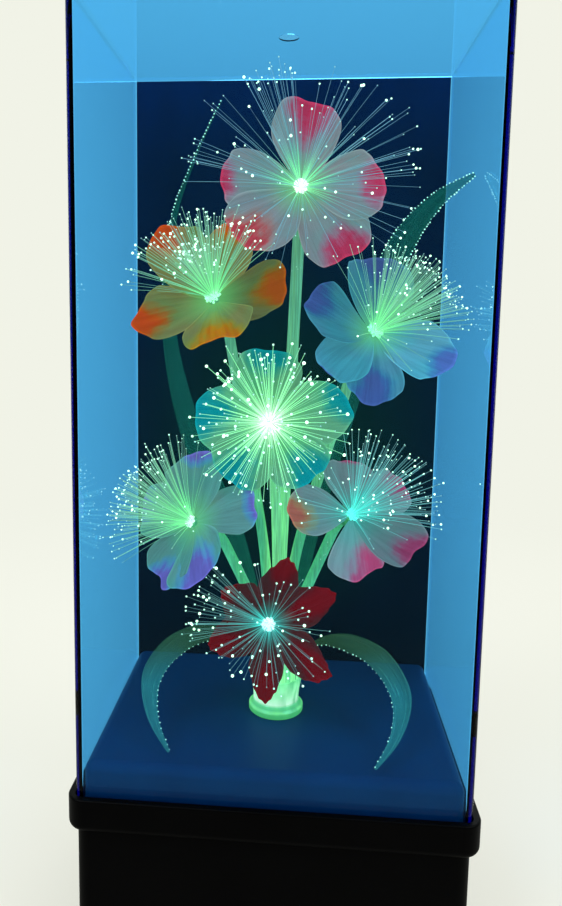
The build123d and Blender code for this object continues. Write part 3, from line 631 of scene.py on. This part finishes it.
def flower_axes(flower):
    """Centre, x level across the blossom, y up it, z out of it."""
    z = Vector(flower["facing"]).normalized()
    x = Vector((0, 0, 1)).cross(z).normalized()
    centre = Vector(flower["centre"]) + Vector((0, 0, FLOOR))
    return centre, x, z.cross(x), z


def silk(name, flower):
    """Dyed silk: pale, with a patch of dye that runs along the threads near each petal's tip."""
    made, tree = new_material(name)
    along, across = named(tree, "along"), named(tree, "across")
    patch, shade = named(tree, "patch"), named(tree, "shade")
    where = place(tree)
    threads = cloud(tree, joined(tree, (9.0, 1.1, 60.0), across, along, shade), 1.0, 4.0, 0.65)
    blot = cloud(tree, where, 120.0, 3.0, 0.6)
    drift = cloud(tree, where, 55.0, 2.0)
    weave = cloud(tree, where, 2600.0, 1.0)
    # The dye: strongest in the middle of the patch, and ragged along the threads.
    spread = sums(tree, "ADD", patch, vary(tree, threads, -0.20, 0.20))
    spread = sums(tree, "ADD", spread, vary(tree, blot, -0.34, 0.34))
    pale, rim, core = [seen_inside(tone) for tone in flower["tones"]]
    ground = ramp(tree, drift, (0.35, [part * tint for part, tint in zip(pale, COOLER)]),
                  (0.65, [part * tint for part, tint in zip(pale, WARMER)]))
    strength = remap(tree, spread, 0.05, 1.6, 1.0, 0.0)
    dyed = ramp(tree, strength, (0.30, rim), (0.85, core))
    dyed = mingle(tree, "MULTIPLY", named(tree, "warmth"), dyed, YELLOWER)
    dye = mingle(tree, "MIX", remap(tree, strength, 0.0, 0.66), ground, dyed)
    dye = shaded(tree, dye, times(tree, shade, vary(tree, threads, 0.82, 1.12)))
    # The painted light: along the petal's rim, from the blossom's heart, and the glow of the whole
    # petal in its dye.
    side_rim = remap(tree, sums(tree, "ABSOLUTE", across), 0.88, 1.0)
    tip_rim = remap(tree, along, 0.955, 1.0)
    dye = mingle(tree, "MULTIPLY", sums(tree, "MAXIMUM", side_rim, tip_rim), dye, RIM_TINT)
    near = sums(tree, "POWER", remap(tree, along, 0.04, flower["halo"], 1.0, 0.0), 1.5)
    glow = mingle(tree, "MIX", times(tree, near, 0.78), dye, seen_inside(flower["light"]))
    return faced(made, {
        "Base Color": mingle(tree, "MULTIPLY", 1.0, dye, (0.5, 0.5, 0.5)),
        "Roughness": 0.7, "Sheen Weight": 0.02, "Sheen Roughness": 0.4,
        "Specular IOR Level": 0.03, "Emission Color": glow, "Emission Strength": SILK_LIGHT,
        "Normal": raised(tree, sums(tree, "MULTIPLY_ADD", threads, 4.0, weave), 0.00012)})


def petal_outline(across, pointed, notch, phase):
    """How far out the tip's edge lies at this place across, and how wide the petal is there."""
    if pointed:
        teeth = 0.05 * abs(math.sin(across * 10 + phase))
        return 1.0 - 0.44 * abs(across) ** 1.7 - teeth, across
    turn = across * math.pi / 2
    lobes = 0.030 * math.sin(across * 3.4 + phase)
    lobes += 0.020 * math.sin(across * 7.5 + 2 * phase)
    lobes += 0.010 * math.sin(across * 17 + 3 * phase)
    dent = notch * math.exp(-((across - 0.15 * math.sin(phase)) * 4) ** 2)
    return 1.0 - 0.38 * (1.0 - math.cos(turn)) + lobes - dent, math.sin(turn)


def petal(build, axes, shape, pointed):
    centre, x, y, z = axes
    angle, reach, half, lift, aside, deep, notch, *tint = shape
    warmth = tint[0] if tint else 0.0
    gain = tint[1] if len(tint) > 1 else 1.0
    source = random.Random(int(angle * 7 + reach * 11))
    out = x * math.cos(math.radians(angle)) + y * math.sin(math.radians(angle))
    side = z.cross(out)
    seed = source.uniform(0, 50)
    shade = source.uniform(0.92, 1.08) * gain
    wave = source.uniform(2.2, 3.2)
    phase = source.uniform(0, FULL_TURN)
    pitch = 0.9 if pointed else 1.3
    rows = []
    for row in range(PETAL_ROWS + 1):
        share = row / PETAL_ROWS
        belly = share * (1 - share) * 2
        width = ROOT_HALF + (half - ROOT_HALF) * math.sin(share * math.pi / 2) ** 0.95
        line = []
        for column in range(2 * PETAL_SIDE + 1):
            across = column / PETAL_SIDE - 1
            tip, sway = petal_outline(across, pointed, notch * share ** 3, phase)
            ruffle = noise.noise(Vector((across * wave, seed, 0)))
            out_to = PETAL_ROOT + (reach - PETAL_ROOT) * share * (tip + 0.035 * ruffle * share)
            sweep = half * 0.10 * math.sin(share * 3 + seed) * share
            # Lift and tilt, then a waved tip, raised sides, crumple and a groove down the middle.
            height = 0.45 + lift * share ** 1.47 + pitch * across * share ** 0.5
            height += 1.5 * share ** 2 * math.sin(across * wave * 1.6 + phase)
            height += 0.8 * across ** 2 * belly
            height += 0.9 * noise.noise(Vector((share * 3, across * 2.5, seed))) * share
            height -= 1.2 * math.exp(-(across * 5) ** 2) * belly
            point = centre + out * out_to + side * (width * sway + sweep) + z * height
            patch = ((sway - aside) / PATCH_HALF) ** 2 + ((1.0 - share * tip) / deep) ** 2
            line.append(build.point(point, along=share, across=across, shade=shade,
                                    patch=min(patch, PATCH_MOST), warmth=warmth))
        rows.append(line)
    build.grid(rows)


def blossom(letter, flower):
    build = Build()
    axes = flower_axes(flower)
    pointed = flower.get("pointed", False)
    for shape in flower["petals"]:
        petal(build, axes, shape, pointed)
    made = build.piece(f"blossom_{letter}", silk(f"silk_{letter}", flower), flower["slot"])
    thicken(made, SILK_THICKNESS)
    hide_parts(f"petals_{letter}")


# Fibres

# Bundles of fibres per flower: number, directions round the blossom (low, high), lean from its
# facing (low, high), length (low, high).
SPRAYS = {
    "a": [(34, 0, 360, 8, 45, 30, 42), (44, 0, 360, 36, 80, 26, 42),
          (26, 93, 121, 66, 86, 40, 46), (7, 56, 74, 66, 84, 38, 43),
          (10, 24, 50, 66, 86, 41, 46), (12, 0, 18, 66, 86, 41, 46),
          (6, 322, 348, 66, 84, 40, 46), (12, 158, 176, 66, 86, 40, 46),
          (4, 130, 146, 70, 86, 42, 46)],
    "b": [(60, 0, 360, 0, 26, 26, 33), (60, 50, 165, 22, 56, 28, 35),
          (30, 60, 150, 2, 34, 20, 30), (44, 35, 150, 10, 50, 12, 24),
          (46, 60, 190, 46, 84, 31, 36), (22, 15, 60, 26, 62, 28, 34)],
    "c": [(50, 0, 360, 2, 30, 26, 33), (110, -5, 85, 24, 60, 29, 35),
          (40, 40, 130, 20, 70, 27, 34), (30, -20, 40, 46, 80, 30, 36),
          (10, 200, 330, 20, 60, 20, 28)],
    "d": [(60, 0, 360, 6, 40, 20, 31), (130, 0, 360, 34, 84, 22, 33),
          (40, 40, 140, 40, 80, 22, 34)],
    "e": [(46, 0, 360, 2, 30, 26, 32), (110, 95, 205, 22, 60, 28, 34),
          (44, 75, 215, 50, 82, 31, 36), (10, 205, 235, 40, 70, 30, 35),
          (5, 300, 420, 20, 60, 20, 28)],
    "f": [(40, 0, 360, 2, 34, 24, 32), (84, -15, 105, 24, 62, 27, 34),
          (34, -20, 95, 50, 80, 30, 36), (12, 120, 200, 26, 70, 22, 30)],
    "g": [(40, 0, 360, 8, 50, 18, 26), (50, 0, 360, 45, 84, 19, 26),
          (40, 125, 195, 56, 84, 27, 34)],
}

# Size of the drops at the tips.
DROPS = {"a": 1.0, "b": 1.0, "c": 0.78, "d": 1.3, "e": 0.80, "f": 0.85, "g": 1.15}

# How thick each flower's fibres are, as light makes them look, where that isn't 1.
STRENGTHS = {"a": 0.85, "b": 1.15, "d": 1.4, "g": 0.72}

# A fibre: its steps; radius at its root and tip; how high above the blossom's centre it starts
# and how far aside when it leans right over; how strongly it glows, and the range of that.
FIBRE_STEPS = 8
FIBRE_ROOT, FIBRE_TIP = 0.12, 0.085
TUBE_END, TUBE_RIM = 2.0, 2.0
FIBRE_LIGHT = 1.25
FIBRE_SHADES = (0.4, 1.3)

# Tones that a fibre shows at its root, near it, at its middle and at its tip.
GREEN_FIBRE = ((0.56, 1.0, 0.64), (0.42, 0.88, 0.52), (0.40, 0.74, 0.47), (0.44, 0.66, 0.50))
PALE_FIBRE = ((0.56, 1.0, 0.64), (0.42, 0.84, 0.54), (0.36, 0.56, 0.56), (0.36, 0.52, 0.60))
BLUE_FIBRE = ((0.40, 1.0, 0.92), (0.24, 0.84, 0.76), (0.26, 0.66, 0.62), (0.40, 0.60, 0.58))
WHITE_FIBRE = ((1.0, 1.0, 0.96), (0.80, 1.0, 0.82), (0.56, 0.96, 0.62), (0.52, 0.88, 0.58))
ASH_FIBRE = ((0.30, 0.98, 0.90), (0.20, 0.70, 0.64), (0.27, 0.52, 0.46), (0.34, 0.50, 0.45))
FIBRES = {"a": PALE_FIBRE, "d": WHITE_FIBRE, "f": BLUE_FIBRE, "g": ASH_FIBRE}

# The drops at the tips: tone, how strongly they glow and the shades of that; the radius of a
# dark drop and what a bright one adds to it.
DROP_TONE, DROP_LIGHT = (0.80, 1.0, 0.82), 1.6
DROP_SHADES = (0.25, 0.4, 0.7, 1.0, 1.4)
DROP_LEAST, DROP_MORE = 0.15, 0.22


def within(point):
    return Vector(min(max(value, low), high)
                  for value, low, high in zip(point, ROOM_LOW, ROOM_HIGH))


def fibre_line(axes, around, lean, reach, source):
    """Points of one fibre from the tube's end, nearly straight, kept inside the case."""
    centre, x, y, z = axes
    out = x * math.cos(around) + y * math.sin(around)
    aim = out * math.sin(lean) + z * math.cos(lean)
    foot = centre + z * TUBE_END + out * (TUBE_RIM * math.sin(lean))
    knee = foot + z * (0.10 * reach) + aim * (0.18 * reach)
    droop = Vector((source.uniform(-1, 1), source.uniform(-1, 1), source.uniform(-1.8, 0.6)))
    end = foot + aim * reach + droop * (reach / 22)
    line = []
    for step in range(FIBRE_STEPS + 1):
        share = step / FIBRE_STEPS
        bend = foot * (1 - share) ** 2 + knee * (2 * share * (1 - share)) + end * share * share
        straight = foot + (end - foot) * share
        line.append(within(bend.lerp(straight, 0.35)))
    return line


def thread(build, line, shade, thickness):
    """Tapered four-sided thread along the points."""
    rows = []
    for index, point in enumerate(line):
        share = index / (len(line) - 1)
        radius = thickness * (FIBRE_ROOT + (FIBRE_TIP - FIBRE_ROOT) * share)
        ahead = line[min(index + 1, len(line) - 1)]
        behind = line[max(index - 1, 0)]
        heading = (ahead - behind).normalized()
        first = heading.orthogonal().normalized()
        second = heading.cross(first)
        row = [build.point(point + first * (radius * math.cos(turn * math.pi / 2))
                           + second * (radius * math.sin(turn * math.pi / 2)),
                           along=share, shade=shade) for turn in range(4)]
        rows.append(row + row[:1])
    build.grid(rows)


def bead_shape():
    """Corners and faces of a round drop of radius 1."""
    ball = bmesh.new()
    bmesh.ops.create_icosphere(ball, subdivisions=2, radius=1.0)
    corners = [corner.co.copy() for corner in ball.verts]
    faces = [tuple(corner.index for corner in face.verts) for face in ball.faces]
    ball.free()
    return corners, faces


BEAD_CORNERS, BEAD_FACES = bead_shape()


def bead(build, where, radius, shade):
    """Small drop of melted fibre."""
    start = len(build.points)
    for corner in BEAD_CORNERS:
        build.point(where + corner * radius, shade=shade)
    for face in BEAD_FACES:
        build.faces.append(tuple(start + index for index in face))


def fibre_glow(name, tones):
    """Thin clear fibre that leaks light, brightest near the tube."""
    made, tree = new_material(name)
    along, shade = named(tree, "along"), named(tree, "shade")
    root, near, middle, far = [seen_inside(tone) for tone in tones]
    lit = ramp(tree, along, (0.0, root), (0.22, near), (0.5, middle), (1.0, far))
    return faced(made, {
        "Base Color": (0.20, 0.24, 0.22), "Roughness": 0.25,
        "Emission Color": shaded(tree, lit, shade), "Emission Strength": FIBRE_LIGHT})


def tip_glow(name, tone, strength):
    """Small clear drop full of light, each with its own brightness."""
    made, tree = new_material(name)
    lit = shaded(tree, seen_inside(tone), named(tree, "shade"))
    return faced(made, {
        "Base Color": (0.6, 0.65, 0.6), "Roughness": 0.2, "Emission Color": lit,
        "Emission Strength": strength})


def spray(letter, flower):
    source = random.Random(100 + ord(letter))
    threads, tips = Build(), Build()
    axes = flower_axes(flower)
    thickness = STRENGTHS.get(letter, 1.0)
    drop = DROPS[letter]
    for count, low, high, lean_low, lean_high, short, long in SPRAYS[letter]:
        for index in range(count):
            around = math.radians(low + (high - low) * (index + source.random()) / count)
            lean = math.radians(source.uniform(lean_low, lean_high))
            line = fibre_line(axes, around, lean, source.uniform(short, long), source)
            shade = source.uniform(*FIBRE_SHADES)
            thread(threads, line, shade, thickness)
            bright = source.choice(DROP_SHADES)
            radius = drop * (DROP_LEAST + DROP_MORE * bright * source.uniform(0.7, 1.3))
            bead(tips, line[-1], radius, bright)
    made = threads.piece(f"fibres_{letter}",
                         fibre_glow(f"fibre_{letter}", FIBRES.get(letter, GREEN_FIBRE)),
                         "fibre_glow")
    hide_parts(f"spray_{letter}")
    drops = tips.piece(f"tips_{letter}", tip_glow(f"tip_{letter}", DROP_TONE, DROP_LIGHT),
                       "fibre_glow")
    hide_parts(f"spray_{letter}")


# Light at each tube's end: its tone and size against the tube; how strongly it glows; and its
# drops' number and radius.
HEARTS = {"a": ((1.0, 1.0, 0.95), 1.1), "b": ((0.60, 1.0, 0.68), 1.45),
          "c": ((0.55, 1.0, 0.65), 1.4), "d": ((1.0, 1.0, 0.97), 2.2),
          "e": ((0.85, 1.0, 0.88), 1.0), "f": ((0.32, 0.98, 0.86), 1.1),
          "g": ((0.90, 1.0, 1.0), 1.2)}
HEART_LIGHT = 1.0
HEART_DROPS, HEART_DROP = 46, 0.55


def heart(letter, flower):
    """Domed bunch of bright fibre roots at the tube's end."""
    build = Build()
    centre, x, y, z = flower_axes(flower)
    source = random.Random(7 + ord(letter))
    tone, swell = HEARTS[letter]
    size = flower.get("tube", TUBE) * swell
    for index in range(HEART_DROPS):
        ring = math.sqrt((index + 0.5) / HEART_DROPS)
        around = index * GOLDEN_ANGLE
        out = x * math.cos(around) + y * math.sin(around)
        dome = size * 0.8 * math.sqrt(1 - ring * ring)
        bead(build, centre + z * (TUBE_END + dome) + out * (size * ring), HEART_DROP,
             source.uniform(0.8, 1.2))
    build.piece(f"heart_{letter}", tip_glow(f"heart_glow_{letter}", tone, HEART_LIGHT),
                "fibre_glow")


# Leaves

# Where each blade's stalk stands round the collar, degrees; the edges (-1, 1) that carry lights;
# and its stations: x, y, height above the floor, width, direction across the blade.
LEAVES = {
    "upper_left": (120, (1,), [
        ((-6, 10, 30), 2.2, (-1, -0.4, 0)), ((-20, 17, 72), 8.0, (-1, -0.3, 0)),
        ((-40, 19, 116), 11.0, (-0.9, -0.5, 0)), ((-51, 19, 162), 10.0, (-0.5, -0.9, 0)),
        ((-50, 18, 208), 7.5, (-0.2, -1, 0)), ((-40, 17, 238), 4.5, (0, -1, 0)),
        ((-28, 15, 262), 1.2, (0, -1, 0))]),
    "upper_right": (60, (-1, 1), [
        ((6, 10, 30), 2.2, (-1, 0.4, 0)), ((16, 16, 86), 8.0, (-1, 0, 0)),
        ((28, 18, 136), 11.5, (-1, 0, 0)), ((38, 15, 175), 12.0, (-1, -0.1, 0.2)),
        ((48.5, 9, 202), 11.0, (-1, -0.2, 0.5)), ((59, -4, 217), 6.5, (-0.8, -0.4, 0.9)),
        ((70.5, -20, 224.5), 1.2, (-0.5, -0.3, 1))]),
    "lower_left": (180, (1,), [
        ((-10, 0, 23), 2.2, (0, -1, 0)), ((-17, -2, 33), 5.0, (0.3, -0.9, -0.3)),
        ((-29, -7, 36.5), 8.5, (0.1, -0.8, -0.6)), ((-43, -13, 32), 10.0, (0.5, -0.6, -0.6)),
        ((-51, -22, 22.5), 8.5, (0.9, -0.1, -0.4)), ((-48.5, -34, 11.5), 4.5, (1, 0.2, 0)),
        ((-40, -44.5, 2.5), 1.0, (0.8, 0.6, 0))]),
    "lower_right": (0, (-1,), [
        ((10, 0, 23), 2.2, (0, 1, 0)), ((18, -2, 32), 5.0, (0.3, 0.9, 0.3)),
        ((30, -6, 34), 8.5, (0.1, 0.8, 0.6)), ((43, -12, 30), 10.0, (0.5, 0.6, 0.6)),
        ((51, -23, 20), 8.5, (0.9, 0.1, 0.4)), ((48, -36, 10), 4.5, (1, -0.2, 0)),
        ((39, -47.5, 2.5), 1.0, (0.8, -0.6, 0))]),
}

# A blade's stalk: distance from the collar's middle, foot below the floor, height and width; the
# blade's steps between stations and across each half; and its thickness.
STALK_RING, STALK_FOOT, STALK_HEIGHT, STALK_WIDTH = 7.8, 1.9, 9.9, 1.4
BLADE_STEPS, BLADE_SIDE = 8, 4
BLADE_THICKNESS = 0.25

# Tones of the upper and lower blades' ribs, and the tint of the lower blades high up.
BLADE_TONES = {"upper": ((0.005, 0.12, 0.065), (0.025, 0.24, 0.15)),
               "lower": ((0.05, 0.25, 0.17), (0.15, 0.42, 0.30))}
OLIVE = (1.2, 0.50, 0.22)

# Lights on the blades' edges: the share of the blade where they start, their distance apart,
# smallest and largest radius; then their tone and how strongly they glow.
EDGE_LIGHTS = {"upper": (0.64, 1.5, 0.20, 0.36), "lower": (0.33, 2.2, 0.14, 0.27)}
EDGE_TONE, EDGE_LIGHT = (0.72, 1.0, 0.85), 1.2


def curve_point(before, start, end, after, share):
    """Point between start and end on a smooth curve through all four."""
    slope = (end - before) * share
    square = (before * 2 - start * 5 + end * 4 - after) * share ** 2
    cube = (start * 3 - before - end * 3 + after) * share ** 3
    return start + (slope + square + cube) * 0.5


def leaf_samples(stalk, stations):
    """Middle line, width and direction across, close together along the blade."""
    angle = math.radians(stalk)
    foot = Vector((STALK_RING * math.cos(angle), STALK_RING * math.sin(angle), FLOOR - STALK_FOOT))
    side = Vector((-math.sin(angle), math.cos(angle), 0))
    ends = [(foot, STALK_WIDTH, side),
            (foot + Vector((0, 0, STALK_HEIGHT)), STALK_WIDTH, side)]
    ends += [(Vector(where) + Vector((0, 0, FLOOR)), width, Vector(across))
             for where, width, across in stations]
    last = len(ends) - 1
    samples = []
    for index in range(last):
        four = [ends[max(0, min(last, index + step))][0] for step in (-1, 0, 1, 2)]
        for step in range(BLADE_STEPS):
            share = step / BLADE_STEPS
            width = ends[index][1] * (1 - share) + ends[index + 1][1] * share
            across = ends[index][2] * (1 - share) + ends[index + 1][2] * share
            samples.append((curve_point(*four, share), width, across.normalized()))
    samples.append((ends[last][0], ends[last][1], ends[last][2].normalized()))
    return samples


def blade_skin(name, kind):
    """Thin ribbed green plastic that lets the floor and panel show through."""
    made, tree = new_material(name)
    along, across = named(tree, "along"), named(tree, "across")
    rib = cloud(tree, joined(tree, (9.0, 5.0, 0.0), across, along), 1.0, 3.0, 0.65)
    dark, light = BLADE_TONES[kind]
    tone = ramp(tree, rib, (0.3, dark), (0.7, light))
    if kind == "lower":
        high = by_height(tree, xyz(tree, place(tree))[2], 20, 32)
        tone = mingle(tree, "MULTIPLY", high, tone, OLIVE)
    # The emission is painted light: the blade glows faintly in its own tone.
    return faced(made, {
        "Base Color": tone, "Roughness": 0.35, "Emission Color": tone,
        "Emission Strength": 0.25, "Alpha": vary(tree, rib, 0.30, 0.62),
        "Specular IOR Level": 0.2, "Normal": raised(tree, rib, 0.0002)})


def edge_lights(name, kind, edges):
    """Small lights along the blade; edges gives each sample's share and points on its edges."""
    lights = Build()
    source = random.Random(len(name))
    lit_from, gap, small, large = EDGE_LIGHTS[kind]
    since = 0.0
    for (_, before), (share, ends) in zip(edges, edges[1:]):
        if share < lit_from:
            continue
        span = (ends[0] - before[0]).length
        since += span
        while since > gap:
            since -= gap * source.uniform(0.8, 1.2)
            for start, end in zip(before, ends):
                wander = Vector((source.uniform(-0.2, 0.2), 0, source.uniform(-0.2, 0.2)))
                where = start.lerp(end, min(max(1 - since / span, 0.0), 1.0)) + wander
                bead(lights, within(where), source.uniform(small, large),
                     source.uniform(0.35, 1.1))
    lights.piece(f"edge_lights_{name}", tip_glow(f"edge_light_{name}", EDGE_TONE, EDGE_LIGHT),
                 "fibre_glow")


def leaf(name, stalk, lit_edges, stations):
    samples = leaf_samples(stalk, stations)
    blade = Build()
    kind = name.split("_")[0]
    last = len(samples) - 1
    rows, edges = [], []
    for index, (point, width, across) in enumerate(samples):
        heading = samples[min(index + 1, last)][0] - samples[max(index - 1, 0)][0]
        heading.normalize()
        across = (across - heading * across.dot(heading)).normalized()
        face = heading.cross(across)
        share = index / last
        row = []
        for column in range(2 * BLADE_SIDE + 1):
            aside = column / BLADE_SIDE - 1
            crown = -0.10 * width * (1 - aside ** 2)
            ripple = 0.05 * width * math.sin(aside * 7 + share * 3)
            where = point + across * (aside * width / 2) + face * (crown + ripple * 0.3)
            row.append(blade.point(where, along=share, across=aside))
        rows.append(row)
        edges.append((share, [point + across * (edge * width / 2) for edge in lit_edges]))
    blade.grid(rows)
    made = blade.piece(f"blade_{name}", blade_skin(f"blade_{name}", kind), "leaf_green")
    thicken(made, BLADE_THICKNESS)
    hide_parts(f"leaf_{name}")
    edge_lights(name, kind, edges)


# Camera, floor, world and lamps

# The picture's size, the focal length and the point that the lens looks at, in pixels; then the
# camera's place and directions. All are solved from the case's corners.
PICTURE_WIDTH, PICTURE_HEIGHT = 562, 906
FOCAL_PIXELS = 769.8
LENS_POINT = (234.32, 415.34)
CAMERA_PLACE = Vector((8.529, -322.575, 253.155))
CAMERA_RIGHT = Vector((0.99590, 0.08965, 0.01214))
CAMERA_FORWARD = Vector((-0.08742, 0.98822, -0.12559))
SENSOR = 36.0

# Half the studio floor's side in metres.
FLOOR_REACH = 6.0

# Soft round lamps: place and size in metres, power in watts; and where they aim.
LAMPS = {"lamp_left": ((-0.9, -0.9, 1.5), 0.9, 13.0),
         "lamp_right": ((1.1, -0.5, 1.4), 0.9, 9.0),
         "lamp_rear": ((0.2, 1.2, 1.5), 1.0, 8.0)}
LAMP_AIM = Vector((0, 0, 0.2))


def camera():
    data = bpy.data.cameras.new("camera")
    data.sensor_width = SENSOR
    data.lens = FOCAL_PIXELS * SENSOR / PICTURE_HEIGHT
    data.shift_x = (PICTURE_WIDTH / 2 - LENS_POINT[0]) / PICTURE_HEIGHT
    data.shift_y = (LENS_POINT[1] - PICTURE_HEIGHT / 2) / PICTURE_HEIGHT
    data.clip_start = 0.01
    data.clip_end = 30.0
    made = add("camera", data)
    up = CAMERA_RIGHT.cross(CAMERA_FORWARD)
    turn = Matrix((CAMERA_RIGHT, up, -CAMERA_FORWARD)).transposed()
    made.matrix_world = Matrix.Translation(CAMERA_PLACE * MM) @ turn.to_4x4()
    bpy.context.scene.camera = made


def backdrop(tree, path):
    """The backdrop's colour, and whether it is seen by the camera or through something clear."""
    tone = mingle(tree, "MIX", path["Is Transmission Ray"], BACKDROP, THROUGH_CASE)
    return tone, sums(tree, "MAXIMUM", path["Is Camera Ray"], path["Is Transmission Ray"])


def studio_floor():
    """Pale floor that takes the lamp's shadow and turns into the plain backdrop further out."""
    made, tree = new_material("studio_floor")
    where = place(tree)
    grain = cloud(tree, where, 6.0, 2.0)
    tone = mingle(tree, "MIX", vary(tree, grain, 0.0, 0.04), BACKDROP, (0.8, 0.8, 0.74))
    matte = put(tree, "BsdfDiffuse", {"Color": tone}).outputs[0]
    path = light_path(tree)
    wall, seen = backdrop(tree, path)
    flat = put(tree, "Emission", {"Color": wall}).outputs[0]
    plain = remap(tree, distance(tree, where), 0.15, 0.7, 0.55, 1.0)
    half = either(tree, plain, matte, flat)
    # Painted dark reflection: glossy rays see the floor turn dark towards the front.
    dim = remap(tree, xyz(tree, where)[1], -0.4, 0.5, 0.97, 0.0)
    dark = put(tree, "Emission", {"Color": (0.02, 0.02, 0.02)}).outputs[0]
    mirrored = either(tree, dim, half, dark)
    lit = either(tree, path["Is Glossy Ray"], matte, mirrored)
    show(tree, either(tree, seen, lit, half))
    mesh = bpy.data.meshes.new("studio_floor")
    corners = [(x * FLOOR_REACH, y * FLOOR_REACH, 0)
               for x, y in ((-1, -1), (1, -1), (1, 1), (-1, 1))]
    mesh.from_pydata(corners, [], [(0, 1, 2, 3)])
    mesh.materials.append(made)
    add("studio_floor", mesh)


def world():
    """Pale room; what mirrors in the case from the front is dim, as in a dark shop."""
    made = bpy.data.worlds.new("room")
    made.use_nodes = True
    tree = made.node_tree
    tree.nodes.clear()
    path = light_path(tree)
    wall, seen = backdrop(tree, path)
    flat = put(tree, "Background", {"Color": wall}).outputs[0]
    plain = put(tree, "Background", {"Color": (1, 1, 1), "Strength": 0.62}).outputs[0]
    front = xyz(tree, put(tree, "TexCoord").outputs["Generated"])[1]
    bright = ramp(tree, remap(tree, front, -1.0, 1.0), (0.1, (0.006, 0.02, 0.022)),
                  (0.45, (0.10, 0.24, 0.26)), (0.75, (0.7, 0.8, 0.78)))
    mirror = put(tree, "Background", {"Color": bright}).outputs[0]
    lit = either(tree, path["Is Glossy Ray"], plain, mirror)
    put(tree, "OutputWorld", {"Surface": either(tree, seen, lit, flat)})
    bpy.context.scene.world = made


def lamp(name, where, size, power):
    data = bpy.data.lights.new(name, "AREA")
    data.shape = "DISK"
    data.size = size
    data.energy = power
    made = add(name, data)
    made.location = where
    made.rotation_euler = (LAMP_AIM - Vector(where)).to_track_quat("-Z", "Y").to_euler()


bpy.context.scene.view_settings.view_transform = "Standard"
camera()
studio_floor()
world()
for name, (where, size, power) in LAMPS.items():
    lamp(name, where, size, power)

dress_nodes()
for letter, flower in FLOWERS.items():
    blossom(letter, flower)
    spray(letter, flower)
    heart(letter, flower)
for name, (stalk, lit_edges, stations) in LEAVES.items():
    leaf(name, stalk, lit_edges, stations)
